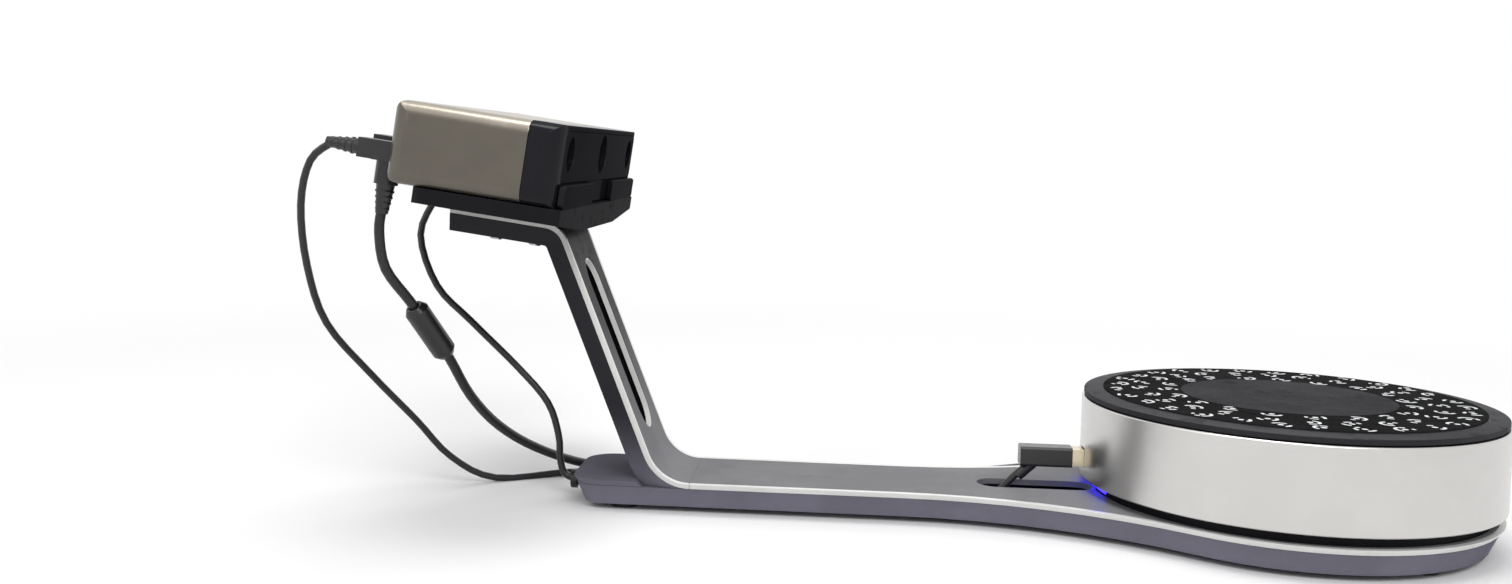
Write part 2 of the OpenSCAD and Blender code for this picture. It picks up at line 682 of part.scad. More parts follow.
// A lens with a domed face, seated in its barrel
module lens(r) {
    dome = r * 1.6;
    sag = dome - sqrt(dome * dome - r * r);
    translate([barrel_x - 8.8, 0, 0]) rotate([0, 90, 0]) rotate_extrude()
        polygon(concat([[0, 0], [r, 0]], arc([0, 5 + sag - dome], dome, acos(r / dome), 90, 8)));
}
module projector_lens() color([0.2, 0.25, 0.4, 0.8]) at_head()
    translate([0, 0, lens_z]) lens(projector_r - 1.6);
module camera_lens_near() color([0.2, 0.25, 0.4, 0.8]) at_head()
    translate([0, -camera_span / 2, lens_z]) lens(camera_r - 1.6);
module camera_lens_far() color([0.2, 0.25, 0.4, 0.8]) at_head()
    translate([0, camera_span / 2, lens_z]) lens(camera_r - 1.6);

switch_x = -head_d + head_wall + 1.5 + button_travel;
module main_board() color([0.05, 0.3, 0.16]) at_head() translate([-head_d + 20, 0, saddle_z]) {
    translate([2.5, -68, 0]) cube([1.6, 136, head_h - saddle_z - 6]);
    translate([4.1, 26, 8]) cube([3, 18, 12]);
    translate([4.1, -44, 6]) cube([3, 16, 16]);
    translate([switch_x + head_d - 20, button_y - 3, head_h / 2 - 3 - saddle_z])
        cube([22.6 - head_d - switch_x, 6, 6]);
}

module heat_sink() color([0.5, 0.5, 0.52]) at_head() {
    x0 = barrel_x - projector_barrel_d - 8;
    translate([x0, -13, saddle_z]) cube([2, 26, 24]);
    for (y = [-12:4:12]) translate([x0 + 2, y - 0.6, saddle_z]) cube([5.8, 1.2, 24]);
}

// ---- cords ----
function unit(v) = v / norm(v);
function spline(p, i, t) = let (
        a = p[max(i - 1, 0)], b = p[i], c = p[i + 1], d = p[min(i + 2, len(p) - 1)])
    b + t / 2 * ((c - a) + t * ((2 * a - 5 * b + 4 * c - d) + t * (3 * (b - c) + d - a)));
function smooth(p, steps) = concat(
    [for (i = [0:len(p) - 2], s = [0:steps - 1]) spline(p, i, s / steps)], [p[len(p) - 1]]);
function tangents(p) = [for (i = [0:len(p) - 1])
    unit(i == 0 ? p[1] - p[0] : i == len(p) - 1 ? p[i] - p[i - 1] : unit(p[i + 1] - p[i]) + unit(p[i] - p[i - 1]))];
function carried(t, i, acc) = i >= len(t) ? acc
    : carried(t, i + 1, concat(acc, [unit(acc[i - 1] - (acc[i - 1] * t[i]) * t[i])]));

// A round cord of one unbroken tube along its points
module cord(p, dia, sides) {
    t = tangents(p);
    n = carried(t, 1, [unit(cross(t[0], abs(t[0][2]) < 0.9 ? [0, 0, 1] : [0, 1, 0]))]);
    skin([for (i = [0:len(p) - 1]) [for (k = [0:sides - 1]) let (a = -360 * k / sides)
        p[i] + dia / 2 * (cos(a) * n[i] + sin(a) * cross(t[i], n[i]))]]);
}

// Routes, from the turntable's axis. Each list begins where its cord leaves its plug or the stand.
power_route = [
    [-458, -84, 179.8], [-470, -80, 171], [-479, -68, 150], [-482, -52, 120], [-478, -36, 90],
    [-462, -16, 62], [-444, 2, 36], [-428, 12, 15], [-406, 22, 2.2], [-370, 42, 2.2], [-334, 47, 2.2],
    [-200, 48, 2.2], [-120, 82, 2.2], [-60, 108, 2.2], [20, 112, 2.4], [50, 112, 3]];
data_route = [
    [-442.6, -60, 149.5], [-444, -60, 138], [-442, -56, 120], [-433, -45, 103], [-426, -35, 88], [-419, -25, 73],
    [-412, -10, 52], [-402, 10, 33], [-386, 32, 17], [-362, 54, 4.4], [-330, 57, 3], [-200, 58, 3],
    [-126, 92, 3], [-76, 120, 3.4], [-40, 126, 3.7], [-30, 126, 3.7]];
lead_route = [
    [-437, 18, 162.5], [-440, 18, 152], [-447, 15, 132], [-436, 9, 106], [-416, 5, 88], [-390, 2, 65],
    [-374, 0, 48], [-368, 0, 31], [-367, 0, 19],
    [-364.5, 0, 11.5], [-359, 0, 9]];
plug_route = [
    [-170, -2, 7.6], [-156, -2, 7.8], [-148, -2, 9], [-141, -2, 13], [-135, -1, 19], [-130, 0, 23.4],
    [-126.5, 0, 26]];

module black() color([0.06, 0.06, 0.065]) at_table() children();
module power_cord() black() cord(smooth(power_route, 2), power_dia, 8);
module data_cord() black() cord(smooth(data_route, 2), data_dia, 8);
module lead_cord() black() cord(smooth(lead_route, 1), lead_dia, 8);
module table_lead() black() cord(smooth(plug_route, 1), lead_dia, 8);

// The put-away length: a coil that spirals in on the surface and out again in a second layer
coil_gap = 0.6;
coil_lift = 1.2;
coil_steps = 24;
function eased(t) = t <= 0 ? 0 : t >= 1 ? 1 : t * t * (3 - 2 * t);
function coil_r(dia) = 5.5 * dia + coil_turns / 2 * (dia + coil_gap);
function coil_start(route) = route[len(route) - 1];
function coil_mid(route, dia) = coil_start(route) + [dia, coil_r(dia), 0];
function coil_point(dia, t) = let (
        a = 360 * t - 90, r = coil_r(dia) - (dia + coil_gap) * (coil_turns - abs(t - coil_turns)))
    [r * cos(a), r * sin(a), (dia + coil_gap) * eased((t - coil_turns + 0.25) * 2)];
function coil_points(route, dia) = let (mid = coil_mid(route, dia), n = 2 * coil_turns * coil_steps,
        end = mid + coil_point(dia, 2 * coil_turns))
    concat([coil_start(route)], [for (i = [0:n]) mid + coil_point(dia, i / coil_steps)], [end + [dia, 0, 0]]);
function coil_end(route, dia) = let (p = coil_points(route, dia)) p[len(p) - 1];

// Least distance between two turns, less the cord's own thickness
function least_gap(p, dia, skip) = min([for (i = [0:3:len(p) - 1 - skip], j = [i + skip:2:len(p) - 1])
    norm(p[i] - p[j])]) - dia;
echo(power_coil_gap = least_gap(coil_points(power_route, power_dia), power_dia, coil_steps / 2));
echo(data_coil_gap = least_gap(coil_points(data_route, data_dia), data_dia, coil_steps / 2));
function route_length(p) = len(p) < 2 ? 0 : norm(p[1] - p[0]) + route_length([for (i = [1:len(p) - 1]) p[i]]);
echo(power_lengths = [route_length(smooth(power_route, 2)), route_length(coil_points(power_route, power_dia))]);
echo(data_lengths = [route_length(smooth(data_route, 2)), route_length(coil_points(data_route, data_dia))]);
echo(lead_lengths = [route_length(smooth(lead_route, 2)), route_length(smooth(plug_route, 2))]);

module power_coil() black() cord(coil_points(power_route, power_dia), power_dia, 6);
module data_coil() black() cord(coil_points(data_route, data_dia), data_dia, 6);

// A flat band round the bundled turns, on the side away from the plug
tie_t = 0.8;
module tie(route, dia) {
    mid = coil_mid(route, dia);
    wide = (coil_turns + 1) * (dia + coil_gap) + 1;
    high = 2 * dia + coil_gap + 0.8;
    outer = coil_r(dia) + dia / 2 + 0.4;
    translate([mid[0], mid[1] + outer - wide / 2, high / 2 + tie_t]) rotate([0, 90, 0])
        linear_extrude(6, center = true) difference() {
            square([high + 2 * tie_t, wide + 2 * tie_t], center = true);
            square([high, wide], center = true);
        }
}
module cord_ties() color([0.12, 0.12, 0.12]) at_table() {
    tie(power_route, power_dia);
    tie(data_route, data_dia);
}

// Ribbed strain relief along -X from the origin
module relief(dia, length, r0) {
    rotate([0, -90, 0]) cylinder(r1 = r0, r2 = dia / 2 + 0.5, h = length);
    for (i = [1:4]) translate([-length * i / 5, 0, 0])
        rod_x(r0 - (r0 - dia / 2) * i / 5 + 0.5, -1, 0);
}

module power_plug() black() translate([-head_at, 0, head_z]) rotate([0, tilt, 0])
    translate([-head_d, sockets_y[0], sockets_z]) {
        translate([-18, -5, -4.5]) cube([17.8, 10, 9]);
        translate([-4, -3, -2]) cube([13, 6, 4]);
        translate([-18, 0, 0]) relief(power_dia, 16, 3.8);
    }

// Right-angled plug: a body at the socket and a leg that points down
module corner_plug(body, leg_x, drop, dia, tail) {
    translate([-body[0], -body[1] / 2, -body[2] / 2]) cube([body[0] - 0.2, body[1], body[2]]);
    translate([-4, -3, -2]) cube([13, 6, 4]);
    translate([leg_x, 0, 0]) rotate([0, -90, 0]) {
        rod_x(body[1] / 2 - 0.3, -drop, 0);
        translate([-drop, 0, 0]) relief(dia, tail, body[1] / 2 - 1.6);
    }
}
module data_plug() black() translate([-head_at, 0, head_z]) rotate([0, tilt, 0])
    translate([-head_d, sockets_y[1], sockets_z]) corner_plug([19, 12, 12], -12, 17, data_dia, 14);
module lead_plug() black() translate([-head_at, 0, head_z]) rotate([0, tilt, 0])
    translate([-head_d, sockets_y[2], sockets_z]) corner_plug([13, 9, 9], -8, 10, lead_dia, 7);

ferrite_r = 6;
ferrite_len = 33;
module ferrite_core() black() {
    from = data_route[3];
    to = data_route[5];
    way = unit(to - from);
    translate((from + to) / 2) rotate([0, acos(way[2]), atan2(way[1], way[0])]) difference() {
        union() {
            cylinder(r = ferrite_r, h = ferrite_len - 6, center = true);
            for (s = [0, 1]) mirror([0, 0, s]) translate([0, 0, ferrite_len / 2 - 3])
                cylinder(r1 = ferrite_r, r2 = ferrite_r - 2, h = 3);
        }
        cylinder(r = data_dia / 2 + 0.3, h = far, center = true);
    }
}

module far_plug(route, dia, body) {
    translate(coil_end(route, dia)) {
        rod_x(dia / 2 + 1, 0, 9);
        translate([9, -body[1] / 2, -body[2] / 2]) cube(body);
        translate([9 + body[0], -body[1] / 2 + 1.5, -2.2]) difference() {
            cube([11, body[1] - 3, 4.4]);
            translate([3, 1, 0.8]) cube([10, body[1] - 5, 2.2]);
        }
    }
}
module power_far_plug() black() far_plug(power_route, power_dia, [18, 10, 8]);
module data_far_plug() black() far_plug(data_route, data_dia, [20, 13, 9]);

module lead_grommet() color([0.1, 0.1, 0.1]) at_table() translate([0, 0, lead_z]) {
    rod_x(neck_r, -rear_at - 1, -rear_at + 12);
    rod_x(neck_r + 1.6, -rear_at - 3.6, -rear_at - 0.3);
}

plug_face = 26;
module table_plug() black() translate([-ring_r - plug_out, 0, plug_z]) {
    translate([-plug_face / 2, 0, 0]) rotate([0, 90, 0])
        linear_extrude(plug_face, center = true) rounded(10, 11, 1.5);
    translate([-plug_face + 6, 0, -5]) rotate([0, -43, 0]) rod_x(2.7, -9, 3);
}

module table_plug_shell() color([0.8, 0.76, 0.66]) at_table() translate([-ring_r - plug_out, 0, plug_z])
    translate([0, -socket_w / 2 + 0.3, -socket_w / 2 + 0.3]) difference() {
        cube([plug_out + 9, socket_w - 0.6, socket_w - 0.6]);
        translate([plug_out, 1, 1]) cube([12, socket_w - 2.6, socket_w - 2.6]);
    }

base_pan();
top_panel();
base_trim();
rear_deck();
rubber_feet();
base_screws();
column_channel();
column_panel();
column_trim_near();
column_trim_far();
head_tray();
tray_claw_near();
tray_claw_far();
tray_screws();
table_chassis();
silver_ring();
spindle_bearing();
drive_motor();
motor_bracket();
table_board();
status_light();
table_socket();
platter();
marker_sheet();
centre_pad();
platter_gear();
spindle();
drive_pinion();
head_shell();
front_cover();
front_window();
rear_panel();
head_chassis();
projector_barrel();
projector_lens();
camera_near();
camera_far();
camera_lens_near();
camera_lens_far();
main_board();
heat_sink();
head_sockets();
power_button();
power_plug();
power_cord();
power_coil();
power_far_plug();
data_plug();
data_cord();
data_coil();
data_far_plug();
ferrite_core();
cord_ties();
lead_plug();
lead_cord();
lead_grommet();
table_lead();
table_plug();
table_plug_shell();
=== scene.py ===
"""Looks of a desktop 3D scanner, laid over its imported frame. Metres, in the frame's own axes."""

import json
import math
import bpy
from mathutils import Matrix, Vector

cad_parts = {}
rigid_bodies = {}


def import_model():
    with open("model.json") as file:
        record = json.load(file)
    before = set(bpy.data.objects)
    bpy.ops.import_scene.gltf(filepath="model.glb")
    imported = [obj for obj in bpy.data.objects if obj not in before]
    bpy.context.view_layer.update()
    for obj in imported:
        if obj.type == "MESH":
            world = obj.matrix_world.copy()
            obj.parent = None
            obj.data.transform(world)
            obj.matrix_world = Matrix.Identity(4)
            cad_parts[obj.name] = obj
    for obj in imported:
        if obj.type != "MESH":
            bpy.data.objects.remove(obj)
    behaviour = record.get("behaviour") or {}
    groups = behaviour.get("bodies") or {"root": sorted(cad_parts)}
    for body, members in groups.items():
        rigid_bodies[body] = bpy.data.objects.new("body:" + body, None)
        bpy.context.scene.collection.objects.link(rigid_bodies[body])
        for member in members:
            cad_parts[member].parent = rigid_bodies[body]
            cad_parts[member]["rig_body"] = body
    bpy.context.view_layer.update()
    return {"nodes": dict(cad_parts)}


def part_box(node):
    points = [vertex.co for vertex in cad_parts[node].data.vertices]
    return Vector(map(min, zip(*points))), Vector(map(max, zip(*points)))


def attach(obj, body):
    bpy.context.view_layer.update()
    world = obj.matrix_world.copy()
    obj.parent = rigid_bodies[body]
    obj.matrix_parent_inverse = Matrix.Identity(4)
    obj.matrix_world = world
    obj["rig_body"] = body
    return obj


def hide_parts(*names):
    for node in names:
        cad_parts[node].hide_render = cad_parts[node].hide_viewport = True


bl_info = {
    "name": "Desktop 3D Scanner",
    "version": (1, 0, 0),
    "blender": (4, 5, 0),
    "location": "View3D > Sidebar > Scanner",
    "description": "Dresses a desktop 3D scanner's frame with finishes, cords and a marker print",
    "category": "Add Mesh",
}

import bmesh
import bpy
from bpy.props import FloatProperty, FloatVectorProperty, IntProperty, PointerProperty
from mathutils import Matrix, Vector

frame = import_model()
NODES = frame["nodes"]
MM = 0.001


def middle(node):
    """Centre of a node's box."""
    low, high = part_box(node)
    return (low + high) / 2


TABLE = Vector((middle("silver_ring").x, 0, 0))

# ---- camera ----
CAMERA_PLACE = Vector((-0.0597, -0.7112, 0.1806))
CAMERA_YAW = -0.0632
CAMERA_PITCH = -0.0517
CAMERA_ROLL = 0.0274
CAMERA_LENS = 33.35
CAMERA_SENSOR = 36
CAMERA_RISE = -0.0449


# ---- settings that a user would change ----
def colour(label, about, value):
    return FloatVectorProperty(name=label, description=about, default=value, subtype="COLOR", min=0, max=1)


class ScannerColours(bpy.types.PropertyGroup):
    """Colours of the finishes"""

    casing: colour("Casing", "Bluish grey of the pan and the column's channel", (0.215, 0.208, 0.262))
    panel: colour("Panel", "Grey of the top panels", (0.215, 0.215, 0.224))
    trim: colour("Trim", "Pale strip round the base and up the column", (0.74, 0.74, 0.725))
    ring: colour("Ring", "Silver band round the turntable", (0.62, 0.61, 0.595))
    shell: colour("Shell", "Warm silver of the scan head", (0.134, 0.12, 0.1))
    gloss: colour("Gloss", "Polished black of the head's front", (0.009, 0.009, 0.012))
    black: colour("Black", "Matt black mouldings", (0.011, 0.011, 0.013))
    platter: colour("Platter", "Black of the turning platter", (0.024, 0.024, 0.028))
    film: colour("Film", "Black of the marker sheet", (0.008, 0.008, 0.009))
    marks: colour("Marks", "White of the printed marks", (0.74, 0.75, 0.76))
    jacket: colour("Jacket", "Black of the cords", (0.016, 0.016, 0.018))
    light: colour("Light", "Status light under the ring", (0.02, 0.01, 1.0))


class ScannerSizes(bpy.types.PropertyGroup):
    """Sizes of the details"""

    casing_edge: FloatProperty(
        name="Casing edge", description="Radius on the edges of the mouldings",
        default=0.45 * MM, unit="LENGTH"
    )
    fine_edge: FloatProperty(
        name="Fine edge", description="Radius on the edges of small pieces", default=0.2 * MM, unit="LENGTH"
    )
    mark_size: FloatProperty(
        name="Mark size", description="Radius of a printed mark's arcs", default=4.2 * MM, unit="LENGTH"
    )
    mark_seed: IntProperty(name="Mark seed", description="Order in which the marks vary", default=7)
    glow: FloatProperty(name="Glow", description="Strength of the status light", default=9.0)


def colours():
    return bpy.context.scene.scanner_colours


def sizes():
    return bpy.context.scene.scanner_sizes


# ---- shader groups ----
def shader_group(name, inputs, outputs):
    """A shader node group with float sockets, and its own input and output nodes."""
    tree = bpy.data.node_groups.new(name, "ShaderNodeTree")
    for label, value in inputs.items():
        tree.interface.new_socket(label, in_out="INPUT", socket_type="NodeSocketFloat").default_value = value
    for label in outputs:
        tree.interface.new_socket(label, in_out="OUTPUT", socket_type="NodeSocketFloat")
    return tree, tree.nodes.new("NodeGroupInput"), tree.nodes.new("NodeGroupOutput")


def noise(tree, where, scale, detail=4.0, roughness=0.55, distortion=0.0):
    node = tree.nodes.new("ShaderNodeTexNoise")
    tree.links.new(where, node.inputs["Vector"])
    if isinstance(scale, (int, float)):
        node.inputs["Scale"].default_value = scale
    else:
        tree.links.new(scale, node.inputs["Scale"])
    node.inputs["Detail"].default_value = detail
    node.inputs["Roughness"].default_value = roughness
    node.inputs["Distortion"].default_value = distortion
    return node.outputs["Fac"]


def ranged(tree, value, low, high, to_low=0.0, to_high=1.0):
    """A value eased from one range to another."""
    node = tree.nodes.new("ShaderNodeMapRange")
    node.interpolation_type = "SMOOTHSTEP"
    tree.links.new(value, node.inputs[0])
    for socket, number in zip(node.inputs[1:5], (low, high, to_low, to_high)):
        socket.default_value = number
    return node.outputs[0]


def sums(tree, operation, *values):
    """A math node on numbers or sockets."""
    node = tree.nodes.new("ShaderNodeMath")
    node.operation = operation
    for socket, value in zip(node.inputs, values):
        if isinstance(value, bpy.types.NodeSocket):
            tree.links.new(value, socket)
        else:
            socket.default_value = value
    return node.outputs[0]


def object_place(tree):
    return tree.nodes.new("ShaderNodeTexCoord").outputs["Object"]


def upward(tree, vector):
    """The Z part of a vector."""
    parts = tree.nodes.new("ShaderNodeSeparateXYZ")
    tree.links.new(vector, parts.inputs[0])
    return parts.outputs["Z"]


def facing_up(tree, low, high):
    """How far a surface has turned to face up, from 0 to 1."""
    return ranged(tree, upward(tree, tree.nodes.new("ShaderNodeNewGeometry").outputs["Normal"]), low, high)


def surface_grain():
    """Fine grain, broad mottling and finger smudges, on object coordinates."""
    tree, given, result = shader_group("surface_grain", {"Scale": 2400.0}, ("Height", "Mottle", "Smudge"))
    place = object_place(tree)
    tree.links.new(noise(tree, place, given.outputs["Scale"]), result.inputs["Height"])
    tree.links.new(ranged(tree, noise(tree, place, 26.0, 5.0), 0.38, 0.64), result.inputs["Mottle"])
    smudge = ranged(tree, noise(tree, place, 75.0, 7.0, 0.62, 0.8), 0.5, 0.72)
    tree.links.new(smudge, result.inputs["Smudge"])
    return tree


def settled_dust():
    """Specks and a faint haze that lie on what faces up."""
    tree, given, result = shader_group("settled_dust", {"Amount": 0.3}, ("Dust",))
    place = object_place(tree)
    level = facing_up(tree, 0.6, 0.98)
    specks = ranged(tree, noise(tree, place, 950.0, 2.0, 0.5), 0.62, 0.72)
    haze = ranged(tree, noise(tree, place, 38.0, 6.0, 0.6), 0.4, 0.75, 0.0, 0.35)
    lying = sums(tree, "MULTIPLY", level, sums(tree, "MAXIMUM", specks, haze))
    dust = sums(tree, "MULTIPLY", lying, given.outputs["Amount"])
    tree.links.new(dust, result.inputs["Dust"])
    return tree


def drawn_lines():
    """Fine parallel lines left by turning or rolling, stretched by three numbers."""
    tree, given, result = shader_group("drawn_lines", {"X": 4.0, "Y": 4.0, "Z": 900.0}, ("Lines",))
    stretch = tree.nodes.new("ShaderNodeCombineXYZ")
    for axis in "XYZ":
        tree.links.new(given.outputs[axis], stretch.inputs[axis])
    scaled = tree.nodes.new("ShaderNodeVectorMath")
    scaled.operation = "MULTIPLY"
    tree.links.new(object_place(tree), scaled.inputs[0])
    tree.links.new(stretch.outputs[0], scaled.inputs[1])
    tree.links.new(noise(tree, scaled.outputs[0], 1.0, 3.0, 0.5), result.inputs["Lines"])
    return tree


def placed(material, group, **values):
    """One use of a shader group in a material."""
    node = material.node_tree.nodes.new("ShaderNodeGroup")
    node.node_tree = bpy.data.node_groups[group]
    for label, value in values.items():
        node.inputs[label].default_value = value
    return node


def blended(tree, factor, first, second):
    """Mix of two colours, either of which may be a socket."""
    node = tree.nodes.new("ShaderNodeMix")
    node.data_type = "RGBA"
    tree.links.new(factor, node.inputs[0])
    for socket, value in ((node.inputs[6], first), (node.inputs[7], second)):
        if isinstance(value, bpy.types.NodeSocket):
            tree.links.new(value, socket)
        else:
            socket.default_value = (*value, 1)
    return node.outputs[2]


DUST_COLOUR = 0.42
DUST_SHARE = 0.4
GLANCE = (0.35, 0.8)
# Painted highlight: how far up a surface faces where it begins to brighten and where it is brightest
PAINTED_HIGHLIGHT_FACING = (0.05, 0.7)
BUMP_STRENGTH = 0.6


def base_colour(material, surface, base, shade, dust, painted_height_shade, painted_top_highlight):
    """The colour of a finish: mottled, then given painted shade that darkens with height and a painted
    highlight where it faces up, then dusty.
    """
    tree = material.node_tree
    made = blended(tree, surface.outputs["Mottle"], [c * shade for c in base], list(base))
    # Painted shade: the colour darkens from one height to another, standing in for the shade on the upper
    # parts
    if painted_height_shade:
        low, high, top_shade_share = painted_height_shade
        painted_shade_mask = ranged(tree, upward(tree, object_place(tree)), low, high)
        made = blended(tree, painted_shade_mask, made, [c * top_shade_share for c in base])
    # Painted highlight: the colour brightens where the surface faces up, standing in for the reflection of
    # lights above
    if painted_top_highlight:
        made = blended(tree, facing_up(tree, *PAINTED_HIGHLIGHT_FACING), made, [c * painted_top_highlight for c in base])
    powder = placed(material, "settled_dust", Amount=dust)
    dusty = [(1 - DUST_SHARE) * c + DUST_SHARE * DUST_COLOUR for c in base]
    return blended(tree, powder.outputs["Dust"], made, dusty)


def finish(name, base, shade=0.86, rough=(0.42, 0.55), grain=(2400.0, 0.02), dust=0.2, lines=None,
           sheen=None, painted_height_shade=None, painted_top_highlight=None, **plain):
    """A Principled material with mottled colour, uneven gloss, grain and a little dust.

    shade is the dark share of the mottling, rough the least and most roughness, and grain its scale and
    its height in millimetres. lines are the stretch of drawn lines, and sheen is the refractive index
    face on and at a glance. fade is painted shade: the height where the colour begins to darken, where
    it ends and what share of the colour remains at the top. lift is a painted highlight: how much brighter
    the surface is where it faces up.
    """
    label = name + "_finish"
    if label in bpy.data.materials:
        return bpy.data.materials[label]
    material = bpy.data.materials.new(label)
    material.use_nodes = True
    tree = material.node_tree
    shader = tree.nodes["Principled BSDF"]
    surface = placed(material, "surface_grain", Scale=grain[0])
    tinted = base_colour(material, surface, base, shade, dust, painted_height_shade, painted_top_highlight)
    tree.links.new(tinted, shader.inputs["Base Color"])
    tree.links.new(ranged(tree, surface.outputs["Smudge"], 0.0, 1.0, *rough), shader.inputs["Roughness"])
    bump = tree.nodes.new("ShaderNodeBump")
    bump.inputs["Strength"].default_value = BUMP_STRENGTH
    bump.inputs["Distance"].default_value = grain[1] * MM
    height = surface.outputs["Height"]
    if lines:
        drawn = placed(material, "drawn_lines", X=lines[0], Y=lines[1], Z=lines[2])
        height = drawn.outputs["Lines"]
    tree.links.new(height, bump.inputs["Height"])
    tree.links.new(bump.outputs["Normal"], shader.inputs["Normal"])
    if sheen:
        glance = tree.nodes.new("ShaderNodeLayerWeight")
        glance.inputs["Blend"].default_value = 0.5
        tree.links.new(ranged(tree, glance.outputs["Facing"], *GLANCE, *sheen), shader.inputs["IOR"])
    for quality, value in plain.items():
        shader.inputs[quality.replace("_", " ")].default_value = value
    return material


# ---- finishes ----
def casing_plastic():
    return finish(
        "casing_plastic", colours().casing, 0.88, (0.4, 0.52), (2600.0, 0.03), 0.12, sheen=(1.22, 1.03),
        # Painted shade: the pan and the column's channel darken towards the top
        painted_height_shade=(-15 * MM, 55 * MM, 0.08),
    )


def panel_plastic():
    return finish(
        "panel_plastic", colours().panel, 0.88, (0.36, 0.5), (3200.0, 0.03), 0.3, sheen=(1.3, 1.05),
        # Painted shade: the top panels darken towards the top of the column
        painted_height_shade=(20 * MM, 110 * MM, 0.24),
    )


def trim_plastic():
    return finish(
        "trim_plastic", colours().trim, 0.94, (0.28, 0.4), (2000.0, 0.008), 0.06,
        # Painted shade: the trim darkens towards the top of the column
        painted_height_shade=(100 * MM, 150 * MM, 0.5), Coat_Weight=0.2,
    )


def lining_paint():
    return finish("lining_paint", (0.88, 0.88, 0.86), 0.94, (0.3, 0.42), (2000.0, 0.008), 0.05)


def ring_band():
    return finish(
        "ring_band", colours().ring, 0.96, (0.28, 0.3), (900.0, 0.0005), 0.0, (3.0, 3.0, 1500.0), Metallic=1.0
    )


def shell_paint():
    return finish(
        # Painted highlight: the shell is lighter where it faces up
        "shell_paint", colours().shell, 0.9, (0.28, 0.4), (5200.0, 0.012), 0.08, painted_top_highlight=2.8, Metallic=0.75
    )


def gloss_black():
    return finish("gloss_black", colours().gloss, 0.8, (0.07, 0.18), (900.0, 0.002), 0.1, sheen=(1.24, 1.008))


def matt_black():
    return finish("matt_black", colours().black, 0.8, (0.42, 0.6), (2800.0, 0.03), 0.12, sheen=(1.14, 1.03))


def platter_black():
    return finish(
        "platter_black", colours().platter, 0.85, (0.36, 0.5), (2600.0, 0.03), 0.15, sheen=(1.2, 1.06)
    )


def pad_rubber():
    return finish(
        "pad_rubber", (0.036, 0.036, 0.04), 0.8, (0.6, 0.8), (1500.0, 0.05), 0.25, sheen=(1.25, 1.04)
    )


def foot_rubber():
    return finish("foot_rubber", colours().black, 0.75, (0.65, 0.85), (1200.0, 0.05), 0.2)


def marker_film():
    return finish("marker_film", colours().film, 0.8, (0.3, 0.5), (1800.0, 0.01), 0.1, sheen=(1.3, 1.01))


def mark_print():
    return finish("mark_print", colours().marks, 0.93, (0.45, 0.6), (1800.0, 0.004), 0.05)


def machine_steel():
    return finish("machine_steel", (0.5, 0.5, 0.52), 0.85, (0.24, 0.4), (1500.0, 0.01), 0.05, Metallic=1.0)


def cast_metal():
    return finish("cast_metal", (0.62, 0.62, 0.63), 0.85, (0.35, 0.5), (1100.0, 0.03), 0.1, Metallic=1.0)


def circuit_board():
    return finish(
        "circuit_board", (0.012, 0.11, 0.045), 0.7, (0.3, 0.45), (700.0, 0.05), 0.1, Coat_Weight=0.5
    )


def white_nylon():
    return finish("white_nylon", (0.7, 0.69, 0.63), 0.92, (0.35, 0.5), (1600.0, 0.02), 0.1)


def pinion_brass():
    return finish("pinion_brass", (0.62, 0.45, 0.18), 0.85, (0.22, 0.35), (1300.0, 0.01), 0.05, Metallic=1.0)


def plug_plating():
    return finish("plug_plating", (0.66, 0.58, 0.42), 0.9, (0.2, 0.32), (1300.0, 0.004), 0.05, Metallic=1.0)


def button_plastic():
    return finish("button_plastic", (0.11, 0.11, 0.115), 0.85, (0.35, 0.5), (2600.0, 0.02), 0.1)


def cord_jacket():
    return finish(
        "cord_jacket", colours().jacket, 0.8, (0.38, 0.55), (1500.0, 0.02), 0.15, Specular_IOR_Level=0.4
    )


def plug_moulding():
    return finish("plug_moulding", colours().jacket, 0.75, (0.3, 0.45), (2200.0, 0.02), 0.15)


def coated_glass():
    return finish(
        "coated_glass", (0.1, 0.12, 0.2), 0.7, (0.02, 0.06), (800.0, 0.0005), 0.0,
        Transmission_Weight=0.6, IOR=1.52, Coat_Weight=1.0, Coat_Tint=(0.6, 0.6, 1.0, 1),
    )


def lit_guide():
    """Blue light guide that glows."""
    return finish(
        "lit_guide", colours().light, 0.6, (0.2, 0.35), (900.0, 0.01), 0.0,
        Emission_Color=(*colours().light, 1), Emission_Strength=sizes().glow,
    )


# ---- pieces ----
WELD = 0.004 * MM
NEARLY_FLAT = math.radians(0.4)


def attached(piece, node, replaced=()):
    """A piece rides on its node's body and hides the nodes it replaces."""
    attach(piece, NODES[node]["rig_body"])
    if replaced:
        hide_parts(*replaced)
    return piece


def settled(piece):
    """Turns a piece's live modifiers into a plain mesh."""
    bpy.context.view_layer.update()
    evaluated = piece.evaluated_get(bpy.context.evaluated_depsgraph_get())
    mesh = bpy.data.meshes.new_from_object(evaluated)
    piece.modifiers.clear()
    piece.data = mesh
    return piece


def added(name, data):
    piece = bpy.data.objects.new(name, data)
    bpy.context.scene.collection.objects.link(piece)
    return piece


